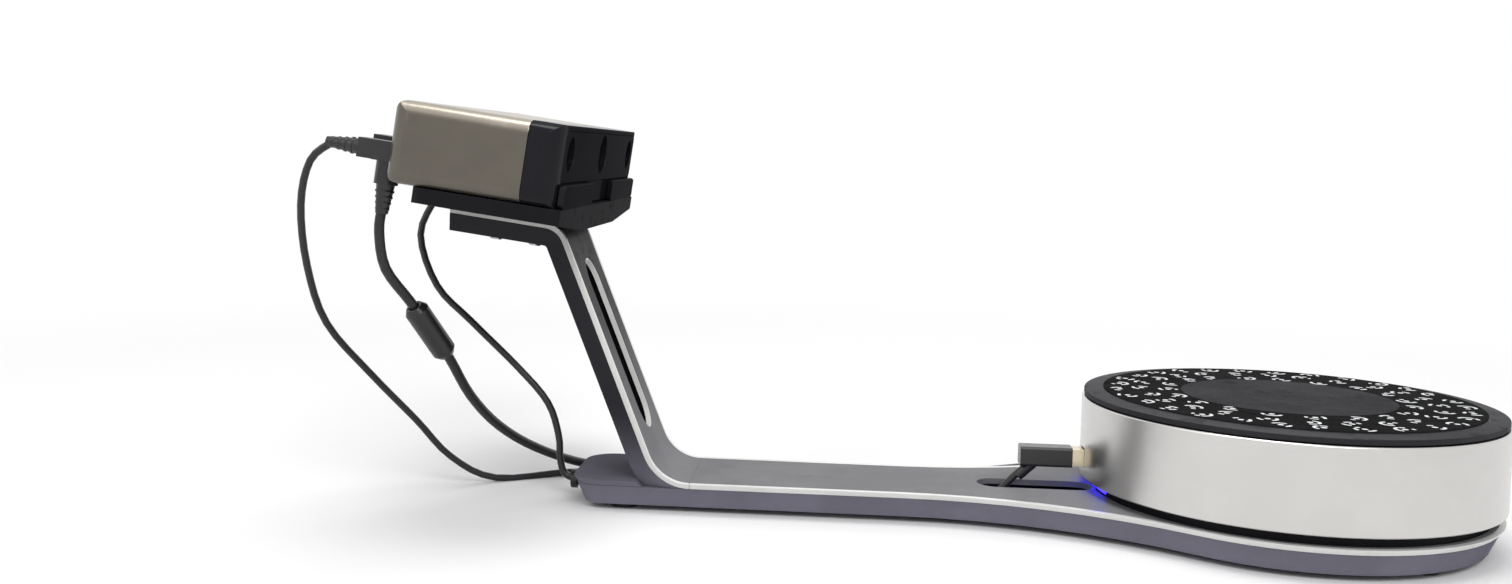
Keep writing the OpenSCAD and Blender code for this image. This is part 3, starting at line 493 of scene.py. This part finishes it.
def softened(node, material, edge, sharp=math.radians(32), steps=2):
    """A node's form with its corners rounded and shaded evenly, in place of the bare solid."""
    form = bmesh.new()
    form.from_mesh(NODES[node].data)
    bmesh.ops.remove_doubles(form, verts=form.verts, dist=WELD)
    bmesh.ops.dissolve_limit(form, angle_limit=NEARLY_FLAT, verts=form.verts, edges=form.edges)
    if edge:
        corners = [e for e in form.edges if len(e.link_faces) == 2 and e.calc_face_angle() > sharp]
        bmesh.ops.bevel(
            form, geom=corners, offset=edge, offset_type="OFFSET", segments=steps,
            profile=0.5, affect="EDGES", clamp_overlap=True, miter_outer="ARC",
        )
    bmesh.ops.triangulate(form, faces=[f for f in form.faces if len(f.verts) > 4])
    for face in form.faces:
        face.smooth = True
    for line in form.edges:
        line.smooth = len(line.link_faces) == 2 and line.calc_face_angle() < sharp * 1.3
    mesh = bpy.data.meshes.new(node + "_form")
    form.to_mesh(mesh)
    form.free()
    old_normals = mesh.attributes.get("custom_normal")
    if old_normals:
        mesh.attributes.remove(old_normals)
    mesh.materials.clear()
    mesh.materials.append(material)
    piece = added(node + "_piece", mesh)
    even = piece.modifiers.new("Even shading", "WEIGHTED_NORMAL")
    even.keep_sharp = True
    settled(piece)
    return attached(piece, node, (node,))


def painted(node, material):
    """A node whose bare form is right gets its finish."""
    NODES[node].data.materials.clear()
    NODES[node].data.materials.append(material)


# ---- cords ----
# Routes in millimetres from the turntable's axis, as in the part's source
POWER_DIAMETER = 3.6
DATA_DIAMETER = 5
LEAD_DIAMETER = 3.6
POWER_ROUTE = [
    (-458, -84, 179.8), (-470, -80, 171), (-479, -68, 150), (-482, -52, 120), (-478, -36, 90),
    (-462, -16, 62), (-444, 2, 36), (-428, 12, 15), (-406, 22, 2.2), (-370, 42, 2.2), (-334, 47, 2.2),
    (-200, 48, 2.2), (-120, 82, 2.2), (-60, 108, 2.2), (20, 112, 2.4), (50, 112, 3),
]
DATA_ROUTE = [
    (-442.6, -60, 149.5), (-444, -60, 138), (-442, -56, 120), (-433, -45, 103), (-426, -35, 88),
    (-419, -25, 73), (-412, -10, 52), (-402, 10, 33), (-386, 32, 17), (-362, 54, 4.4), (-330, 57, 3),
    (-200, 58, 3), (-126, 92, 3), (-76, 120, 3.4), (-40, 126, 3.7), (-30, 126, 3.7),
]
LEAD_ROUTE = [
    (-437, 18, 162.5), (-440, 18, 152), (-447, 15, 132), (-436, 9, 106), (-416, 5, 88), (-390, 2, 65),
    (-374, 0, 48), (-368, 0, 31), (-367, 0, 19), (-364.5, 0, 11.5), (-359, 0, 9),
]
PLUG_ROUTE = [
    (-170, -2, 7.6), (-156, -2, 7.8), (-148, -2, 9), (-141, -2, 13), (-135, -1, 19), (-130, 0, 23.4),
    (-126.5, 0, 26),
]
COIL_TURNS = 3
COIL_GAP = 0.6
COIL_STEPS = 32


def eased_line(route, steps):
    """A smooth line through a route's points."""
    points = [Vector(p) for p in route]
    line = []
    for i in range(len(points) - 1):
        a, b = points[max(i - 1, 0)], points[i]
        c, d = points[i + 1], points[min(i + 2, len(points) - 1)]
        for s in range(steps):
            t = s / steps
            line.append(b + t / 2 * ((c - a) + t * ((2 * a - 5 * b + 4 * c - d) + t * (3 * (b - c) + d - a))))
    return line + [points[-1]]


def put_away(start, diameter):
    """A coil that winds in on the surface and out again in a second layer, with straight ends."""
    pitch = diameter + COIL_GAP
    widest = 5.5 * diameter + COIL_TURNS / 2 * pitch
    centre = start + Vector((diameter, widest, 0))
    line = []
    for i in range(2 * COIL_TURNS * COIL_STEPS + 1):
        t = i / COIL_STEPS
        turn = math.radians(360 * t - 90)
        radius = widest - pitch * (COIL_TURNS - abs(t - COIL_TURNS))
        climb = min(1, max(0, (t - COIL_TURNS + 0.25) * 2))
        rise = pitch * climb * climb * (3 - 2 * climb)
        line.append(centre + Vector((radius * math.cos(turn), radius * math.sin(turn), rise)))
    return line + [line[-1] + Vector((diameter, 0, 0))]


def cord_piece(name, line, diameter):
    """A round cord along its points, and those points in metres."""
    path = [TABLE + p * MM for p in line]
    data = bpy.data.curves.new(name, "CURVE")
    data.dimensions = "3D"
    data.bevel_depth = diameter / 2 * MM
    data.bevel_resolution = 3
    data.use_fill_caps = True
    spline = data.splines.new("POLY")
    spline.points.add(len(path) - 1)
    for point, place in zip(spline.points, path):
        point.co = (*place, 1)
    data.materials.append(cord_jacket())
    return added(name, data), path


# ---- marker print ----
def wired(tree, kind, **values):
    """A geometry node with some of its inputs set or linked by name."""
    node = tree.nodes.new(kind)
    for label, value in values.items():
        socket = node.inputs[label.replace("_", " ")]
        if isinstance(value, bpy.types.NodeSocket):
            tree.links.new(value, socket)
        else:
            socket.default_value = value
    return node


def arc_tile():
    """Geometry nodes: a flat strip bent round the origin."""
    tree = bpy.data.node_groups.new("arc_tile", "GeometryNodeTree")
    for label, value in (("Radius", 0.004), ("Width", 0.001), ("Sweep", 1.0)):
        tree.interface.new_socket(label, in_out="INPUT", socket_type="NodeSocketFloat").default_value = value
    tree.interface.new_socket("Mesh", in_out="OUTPUT", socket_type="NodeSocketGeometry")
    given = tree.nodes.new("NodeGroupInput").outputs
    strip = wired(
        tree, "GeometryNodeMeshGrid", Size_X=given["Sweep"], Size_Y=given["Width"], Vertices_X=9, Vertices_Y=2
    )
    place = tree.nodes.new("ShaderNodeSeparateXYZ")
    tree.links.new(tree.nodes.new("GeometryNodeInputPosition").outputs[0], place.inputs[0])
    reach = sums(tree, "ADD", place.outputs["Y"], given["Radius"])
    turn = place.outputs["X"]
    across = sums(tree, "MULTIPLY", reach, sums(tree, "COSINE", turn))
    forward = sums(tree, "MULTIPLY", reach, sums(tree, "SINE", turn))
    along = sums(tree, "MULTIPLY", forward, -1.0)
    bent = tree.nodes.new("ShaderNodeCombineXYZ")
    tree.links.new(across, bent.inputs["X"])
    tree.links.new(along, bent.inputs["Y"])
    shaped = wired(tree, "GeometryNodeSetPosition", Geometry=strip.outputs["Mesh"], Position=bent.outputs[0])
    result = tree.nodes.new("NodeGroupOutput")
    tree.links.new(shaped.outputs[0], result.inputs[0])
    return tree


# Arcs of each kind of mark: where each begins and how far it sweeps, in radians
MARK_ARCS = (
    ((0.3, 1.5), (2.6, 0.7)),
    ((0.0, 2.3), (3.4, 0.5), (4.7, 0.6)),
    ((0.9, 0.6), (2.1, 0.9), (4.1, 1.2)),
    ((0.2, 0.8), (1.8, 2.0)),
    ((1.2, 1.1), (3.5, 1.6)),
)
# Rings of marks: how far out on the sheet, as a share of its width, how many and turned how far
MARK_RINGS = ((0.17, 19, 0.0), (0.50, 24, 0.11), (0.82, 29, 0.05))
# A mark's dot and the width of its arcs, as shares of the mark, and how far a mark strays
MARK_DOT = 0.34
MARK_ARC_WIDTH = 0.36
MARK_STRAY = 1.0 * MM
PRINT_THICKNESS = 0.05 * MM


def marker_tree():
    """Geometry nodes: rings of coded marks, each a dot inside broken arcs, as thin raised print."""
    tree = bpy.data.node_groups.new("marker_print", "GeometryNodeTree")
    for label in ("Inner radius", "Outer radius", "Mark size", "Thickness"):
        tree.interface.new_socket(label, in_out="INPUT", socket_type="NodeSocketFloat")
    tree.interface.new_socket("Place", in_out="INPUT", socket_type="NodeSocketVector")
    tree.interface.new_socket("Seed", in_out="INPUT", socket_type="NodeSocketInt")
    tree.interface.new_socket("Mesh", in_out="OUTPUT", socket_type="NodeSocketGeometry")
    given = tree.nodes.new("NodeGroupInput").outputs
    size = given["Mark size"]
    kinds = tree.nodes.new("GeometryNodeJoinGeometry")
    for arcs in MARK_ARCS:
        kind = tree.nodes.new("GeometryNodeJoinGeometry")
        dot = wired(tree, "GeometryNodeMeshCircle", Vertices=12, Radius=sums(tree, "MULTIPLY", size, MARK_DOT))
        dot.fill_type = "NGON"
        tree.links.new(dot.outputs[0], kind.inputs[0])
        for start, sweep in arcs:
            strip = tree.nodes.new("GeometryNodeGroup")
            strip.node_tree = bpy.data.node_groups["arc_tile"]
            tree.links.new(size, strip.inputs["Radius"])
            tree.links.new(sums(tree, "MULTIPLY", size, MARK_ARC_WIDTH), strip.inputs["Width"])
            strip.inputs["Sweep"].default_value = sweep
            turned = wired(tree, "GeometryNodeTransform", Geometry=strip.outputs[0])
            turned.inputs["Rotation"].default_value = (0, 0, start)
            tree.links.new(turned.outputs[0], kind.inputs[0])
        one = wired(tree, "GeometryNodeGeometryToInstance", Geometry=kind.outputs[0])
        tree.links.new(one.outputs[0], kinds.inputs[0])
    rings = tree.nodes.new("GeometryNodeJoinGeometry")
    span = sums(tree, "SUBTRACT", given["Outer radius"], given["Inner radius"])
    for share, count, turn in MARK_RINGS:
        radius = sums(tree, "MULTIPLY_ADD", span, share, given["Inner radius"])
        circle = wired(tree, "GeometryNodeMeshCircle", Vertices=count, Radius=radius)
        turned = wired(tree, "GeometryNodeTransform", Geometry=circle.outputs[0])
        turned.inputs["Rotation"].default_value = (0, 0, turn)
        tree.links.new(turned.outputs[0], rings.inputs[0])
    spread = wired(tree, "FunctionNodeRandomValue", Seed=given["Seed"])
    spread.data_type = "FLOAT_VECTOR"
    spread.inputs["Min"].default_value = (-MARK_STRAY, -MARK_STRAY, 0)
    spread.inputs["Max"].default_value = (MARK_STRAY, MARK_STRAY, 0)
    shifted = wired(
        tree, "GeometryNodeSetPosition", Geometry=rings.outputs[0], Offset=spread.outputs["Value"]
    )
    spin = wired(tree, "FunctionNodeRandomValue", Seed=given["Seed"])
    spin.data_type = "FLOAT_VECTOR"
    spin.inputs["Min"].default_value = (0, 0, 0)
    spin.inputs["Max"].default_value = (0, 0, math.tau)
    marks = wired(
        tree, "GeometryNodeInstanceOnPoints", Points=shifted.outputs[0], Instance=kinds.outputs[0],
        Pick_Instance=True, Rotation=spin.outputs["Value"],
    )
    real = wired(tree, "GeometryNodeRealizeInstances", Geometry=marks.outputs[0])
    raised = wired(
        tree, "GeometryNodeExtrudeMesh", Mesh=real.outputs[0], Offset_Scale=given["Thickness"],
        Individual=False,
    )
    under = wired(tree, "GeometryNodeFlipFaces", Mesh=real.outputs[0])
    both = tree.nodes.new("GeometryNodeJoinGeometry")
    tree.links.new(raised.outputs["Mesh"], both.inputs[0])
    tree.links.new(under.outputs[0], both.inputs[0])
    closed = wired(tree, "GeometryNodeMergeByDistance", Geometry=both.outputs[0], Distance=0.001 * MM)
    laid = wired(tree, "GeometryNodeTransform", Geometry=closed.outputs[0], Translation=given["Place"])
    dressed = wired(tree, "GeometryNodeSetMaterial", Geometry=laid.outputs[0], Material=mark_print())
    result = tree.nodes.new("NodeGroupOutput")
    tree.links.new(dressed.outputs[0], result.inputs[0])
    return tree


# ---- lining of the column's slot ----
# In millimetres from the turntable's axis, as in the part's source
COLUMN_FOOT = Vector((-311, 0, 16))
COLUMN_LEAN = math.radians(22.3)
SLOT_MIDDLE = 70
SLOT_LENGTH = 93
SLOT_WIDTH = 27
LINING_WALL = 0.8
LINING_FROM = 0.3
LINING_TO = 2.8


def stadium(length, width, steps=12):
    """Points of a slot's outline, along X."""
    points = []
    for side in (1, -1):
        centre = side * (length - width) / 2
        for i in range(steps + 1):
            turn = math.pi * (i / steps - 0.5) + (0 if side > 0 else math.pi)
            points.append((centre + width / 2 * math.cos(turn), width / 2 * math.sin(turn)))
    return points


def slot_lining():
    """A thin pale wall round the inside of the column's slot."""
    up = Vector((-math.sin(COLUMN_LEAN), 0, math.cos(COLUMN_LEAN)))
    out = Vector((math.cos(COLUMN_LEAN), 0, math.sin(COLUMN_LEAN)))
    outer = stadium(SLOT_LENGTH - 0.1, SLOT_WIDTH - 0.1)
    inner = stadium(SLOT_LENGTH - 2 * LINING_WALL, SLOT_WIDTH - 2 * LINING_WALL)
    form = bmesh.new()
    loops = []
    corners = ((outer, LINING_FROM), (inner, LINING_FROM), (inner, LINING_TO), (outer, LINING_TO))
    for outline, depth in corners:
        places = [COLUMN_FOOT + up * (SLOT_MIDDLE + u) + Vector((0, v, 0)) - out * depth for u, v in outline]
        loops.append([form.verts.new(TABLE + place * MM) for place in places])
    for loop, following in zip(loops, loops[1:] + loops[:1]):
        for i in range(len(loop)):
            k = (i + 1) % len(loop)
            form.faces.new((loop[i], loop[k], following[k], following[i]))
    bmesh.ops.recalc_face_normals(form, faces=form.faces)
    for face in form.faces:
        face.smooth = True
    for line in form.edges:
        line.smooth = line.calc_face_angle() < math.radians(40)
    mesh = bpy.data.meshes.new("slot_lining")
    form.to_mesh(mesh)
    form.free()
    mesh.materials.append(lining_paint())
    return attached(added("slot_lining", mesh), "column_trim_near")


# ---- operators ----
class SCANNER_OT_camera(bpy.types.Operator):
    """Set the camera at the photograph's viewing angle"""

    bl_idname = "scanner.camera"
    bl_label = "Camera"

    def execute(self, context):
        data = bpy.data.cameras.new("camera")
        data.sensor_width = CAMERA_SENSOR
        data.lens = CAMERA_LENS
        data.shift_y = CAMERA_RISE
        data.clip_start = 0.01
        camera = added("camera", data)
        ahead = Vector((
            math.sin(CAMERA_YAW) * math.cos(CAMERA_PITCH),
            math.cos(CAMERA_YAW) * math.cos(CAMERA_PITCH),
            math.sin(CAMERA_PITCH),
        ))
        level = Vector((math.cos(CAMERA_YAW), -math.sin(CAMERA_YAW), 0))
        upright = level.cross(ahead)
        right = level * math.cos(CAMERA_ROLL) + upright * math.sin(CAMERA_ROLL)
        up = upright * math.cos(CAMERA_ROLL) - level * math.sin(CAMERA_ROLL)
        turned = Matrix((right, up, -ahead)).transposed().to_4x4()
        camera.matrix_world = Matrix.Translation(CAMERA_PLACE) @ turned
        context.scene.camera = camera
        return {"FINISHED"}


class SCANNER_OT_cords(bpy.types.Operator):
    """Make the power lead, the data cord and the turntable's leads with their plugs"""

    bl_idname = "scanner.cords"
    bl_label = "Cords and plugs"

    def execute(self, context):
        edge = sizes().fine_edge
        plugs = {}
        for node in ("power_plug", "power_far_plug", "data_plug", "data_far_plug", "lead_plug", "table_plug",
                     "ferrite_core", "cord_ties", "lead_grommet"):
            plugs[node] = softened(node, plug_moulding(), edge * 1.5)
        plugs["table_plug_shell"] = softened("table_plug_shell", plug_plating(), edge)
        self.coiled("power", POWER_ROUTE, POWER_DIAMETER,
                    [plugs[n] for n in ("power_plug", "power_far_plug")])
        self.coiled("data", DATA_ROUTE, DATA_DIAMETER,
                    [plugs[n] for n in ("data_plug", "data_far_plug", "ferrite_core")])
        piece, path = cord_piece("lead_cord_run", eased_line(LEAD_ROUTE, 4), LEAD_DIAMETER)
        attached(piece, "lead_cord", ("lead_cord",))
        piece, path = cord_piece("table_lead_run", eased_line(PLUG_ROUTE, 4), LEAD_DIAMETER)
        attached(piece, "table_lead", ("table_lead",))
        return {"FINISHED"}

    def coiled(self, name, route, diameter, with_pieces):
        """A cord that runs its route and ends in a put-away coil."""
        line = eased_line(route, 4)
        piece, path = cord_piece(name + "_cord_run", line + put_away(line[-1], diameter), diameter)
        attached(piece, name + "_cord", (name + "_cord", name + "_coil"))


class SCANNER_OT_stand(bpy.types.Operator):
    """Finish the base, the arm, the column and the tray"""

    bl_idname = "scanner.stand"
    bl_label = "Stand"

    def execute(self, context):
        edge, fine = sizes().casing_edge, sizes().fine_edge
        for node in ("base_pan", "column_channel", "rear_deck"):
            softened(node, casing_plastic(), edge)
        for node in ("top_panel", "column_panel"):
            softened(node, panel_plastic(), edge)
        for node in ("base_trim", "column_trim_near", "column_trim_far"):
            softened(node, trim_plastic(), edge)
        softened("head_tray", matt_black(), edge)
        for node in ("tray_claw_near", "tray_claw_far"):
            softened(node, gloss_black(), edge)
        softened("rubber_feet", foot_rubber(), edge)
        for node in ("base_screws", "tray_screws"):
            softened(node, machine_steel(), fine)
        slot_lining()
        return {"FINISHED"}


class SCANNER_OT_turntable(bpy.types.Operator):
    """Finish the ring, the platter, the drive and the socket"""

    bl_idname = "scanner.turntable"
    bl_label = "Turntable"

    def execute(self, context):
        edge, fine = sizes().casing_edge, sizes().fine_edge
        softened("silver_ring", ring_band(), fine)
        softened("table_chassis", matt_black(), fine)
        softened("platter", platter_black(), edge)
        softened("marker_sheet", marker_film(), 0)
        softened("centre_pad", pad_rubber(), fine)
        softened("platter_gear", white_nylon(), fine)
        softened("drive_pinion", pinion_brass(), 0)
        for node in ("spindle", "spindle_bearing", "drive_motor"):
            softened(node, machine_steel(), fine)
        for node in ("motor_bracket", "table_socket"):
            softened(node, cast_metal(), fine)
        softened("table_board", circuit_board(), fine)
        painted("status_light", lit_guide())
        return {"FINISHED"}


class SCANNER_OT_marker_print(bpy.types.Operator):
    """Print the coded marks on the turning sheet"""

    bl_idname = "scanner.marker_print"
    bl_label = "Marker print"

    def execute(self, context):
        arc_tile()
        tree = marker_tree()
        low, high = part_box("marker_sheet")
        pad_low, pad_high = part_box("centre_pad")
        print_piece = added("marker_print", bpy.data.meshes.new("marker_print"))
        modifier = print_piece.modifiers.new("Marker print", "NODES")
        modifier.node_group = tree
        values = {
            "Inner radius": (pad_high.x - pad_low.x) / 2,
            "Outer radius": (high.x - low.x) / 2,
            "Mark size": sizes().mark_size,
            "Thickness": PRINT_THICKNESS,
            "Place": (*TABLE.xy, high.z),
            "Seed": sizes().mark_seed,
        }
        for item in tree.interface.items_tree:
            if item.in_out == "INPUT":
                modifier[item.identifier] = values[item.name]
        settled(print_piece)
        attached(print_piece, "marker_sheet")
        return {"FINISHED"}


class SCANNER_OT_head(bpy.types.Operator):
    """Finish the scan head's casings, its optics and what lies inside it"""

    bl_idname = "scanner.head"
    bl_label = "Scan head"

    def execute(self, context):
        edge, fine = sizes().casing_edge, sizes().fine_edge
        softened("head_shell", shell_paint(), edge)
        softened("front_cover", gloss_black(), edge)
        softened("front_window", gloss_black(), fine)
        softened("rear_panel", matt_black(), fine)
        softened("power_button", button_plastic(), fine)
        for node in ("projector_barrel", "camera_near", "camera_far"):
            softened(node, matt_black(), fine)
        for node in ("projector_lens", "camera_lens_near", "camera_lens_far"):
            softened(node, coated_glass(), 0)
        for node in ("head_chassis", "heat_sink", "head_sockets"):
            softened(node, cast_metal(), fine)
        softened("main_board", circuit_board(), fine)
        return {"FINISHED"}


# Lamps: name, place, width and power
LAMPS = (
    ("lamp_key", (0.5, -1.6, 1.5), 1.1, 17),
    ("lamp_fill", (-1.6, -0.9, 1.2), 1.2, 8),
    ("lamp_top", (-0.1, -0.1, 1.9), 0.8, 11),
    ("lamp_back", (0.4, 1.7, 1.3), 1.2, 8),
)
LAMP_AIM = Vector((0, 0, 0.08))
FLOOR_HALF = 12
FLOOR_WHITENS = (0.45, 1.1)
WORLD_STRENGTH = 0.5


def seen_white(tree):
    """1 where a surface or the world is seen, mirrored or looked through, and 0 where it only lights."""
    path = tree.nodes.new("ShaderNodeLightPath").outputs
    seen = sums(tree, "MAXIMUM", path["Is Camera Ray"], path["Is Glossy Ray"])
    return sums(tree, "MAXIMUM", seen, path["Is Transmission Ray"])


class SCANNER_OT_stage(bpy.types.Operator):
    """Make the pale floor, the lamps and the world"""

    bl_idname = "scanner.stage"
    bl_label = "Stage"

    def execute(self, context):
        self.floor()
        for lamp in LAMPS:
            self.lamp(*lamp)
        self.world(context.scene)
        return {"FINISHED"}

    def floor(self):
        """A plane that fades to plain white away from the scanner."""
        mesh = bpy.data.meshes.new("floor")
        signs = ((-1, -1), (1, -1), (1, 1), (-1, 1))
        mesh.from_pydata([(x * FLOOR_HALF, y * FLOOR_HALF, 0) for x, y in signs], [], [(0, 1, 2, 3)])
        material = bpy.data.materials.new("pale_floor")
        material.use_nodes = True
        tree = material.node_tree
        shader = tree.nodes["Principled BSDF"]
        shader.inputs["Base Color"].default_value = (0.93, 0.93, 0.93, 1)
        shader.inputs["Roughness"].default_value = 0.9
        shader.inputs["Specular IOR Level"].default_value = 0.0
        white = tree.nodes.new("ShaderNodeEmission")
        distance = tree.nodes.new("ShaderNodeVectorMath")
        distance.operation = "LENGTH"
        tree.links.new(object_place(tree), distance.inputs[0])
        far = ranged(tree, distance.outputs["Value"], *FLOOR_WHITENS)
        mix = tree.nodes.new("ShaderNodeMixShader")
        tree.links.new(sums(tree, "MULTIPLY", far, seen_white(tree)), mix.inputs[0])
        tree.links.new(shader.outputs[0], mix.inputs[1])
        tree.links.new(white.outputs[0], mix.inputs[2])
        tree.links.new(mix.outputs[0], tree.nodes["Material Output"].inputs["Surface"])
        mesh.materials.append(material)
        added("floor", mesh)

    def lamp(self, name, place, size, power):
        """A square soft lamp that faces the scanner's middle."""
        data = bpy.data.lights.new(name, "AREA")
        data.size = size
        data.energy = power
        lamp = added(name, data)
        lamp.location = place
        aim = LAMP_AIM - Vector(place)
        lamp.rotation_mode = "QUATERNION"
        lamp.rotation_quaternion = aim.to_track_quat("-Z", "Y")

    def world(self, scene):
        """White where it is seen or mirrored, and a soft grey light elsewhere."""
        world = bpy.data.worlds.new("studio")
        world.use_nodes = True
        tree = world.node_tree
        light = tree.nodes["Background"]
        light.inputs["Color"].default_value = (1, 1, 1, 1)
        light.inputs["Strength"].default_value = WORLD_STRENGTH
        white = tree.nodes.new("ShaderNodeBackground")
        white.inputs["Color"].default_value = (1, 1, 1, 1)
        mix = tree.nodes.new("ShaderNodeMixShader")
        tree.links.new(seen_white(tree), mix.inputs[0])
        tree.links.new(light.outputs[0], mix.inputs[1])
        tree.links.new(white.outputs[0], mix.inputs[2])
        tree.links.new(mix.outputs[0], tree.nodes["World Output"].inputs["Surface"])
        scene.world = world
        scene.view_settings.view_transform = "Standard"


OPERATORS = (
    SCANNER_OT_camera,
    SCANNER_OT_cords,
    SCANNER_OT_stand,
    SCANNER_OT_turntable,
    SCANNER_OT_marker_print,
    SCANNER_OT_head,
    SCANNER_OT_stage,
)


class SCANNER_PT_panel(bpy.types.Panel):
    """Shows the scanner's settings and the buttons that make its pieces"""

    bl_label = "Desktop 3D Scanner"
    bl_idname = "SCANNER_PT_panel"
    bl_space_type = "VIEW_3D"
    bl_region_type = "UI"
    bl_category = "Scanner"

    def draw(self, context):
        for group in (context.scene.scanner_sizes, context.scene.scanner_colours):
            for name in group.__annotations__:
                self.layout.prop(group, name)
        for operator in OPERATORS:
            self.layout.operator(operator.bl_idname)


CLASSES = (ScannerColours, ScannerSizes, *OPERATORS, SCANNER_PT_panel)


def register():
    for item in CLASSES:
        bpy.utils.register_class(item)
    bpy.types.Scene.scanner_colours = PointerProperty(type=ScannerColours)
    bpy.types.Scene.scanner_sizes = PointerProperty(type=ScannerSizes)


def unregister():
    del bpy.types.Scene.scanner_sizes
    del bpy.types.Scene.scanner_colours
    for item in reversed(CLASSES):
        bpy.utils.unregister_class(item)


def main():
    register()
    for make_group in (surface_grain, settled_dust, drawn_lines):
        make_group()
    for operator in OPERATORS:
        area, name = operator.bl_idname.split(".")
        getattr(getattr(bpy.ops, area), name)()


if __name__ == "__main__":
    main()
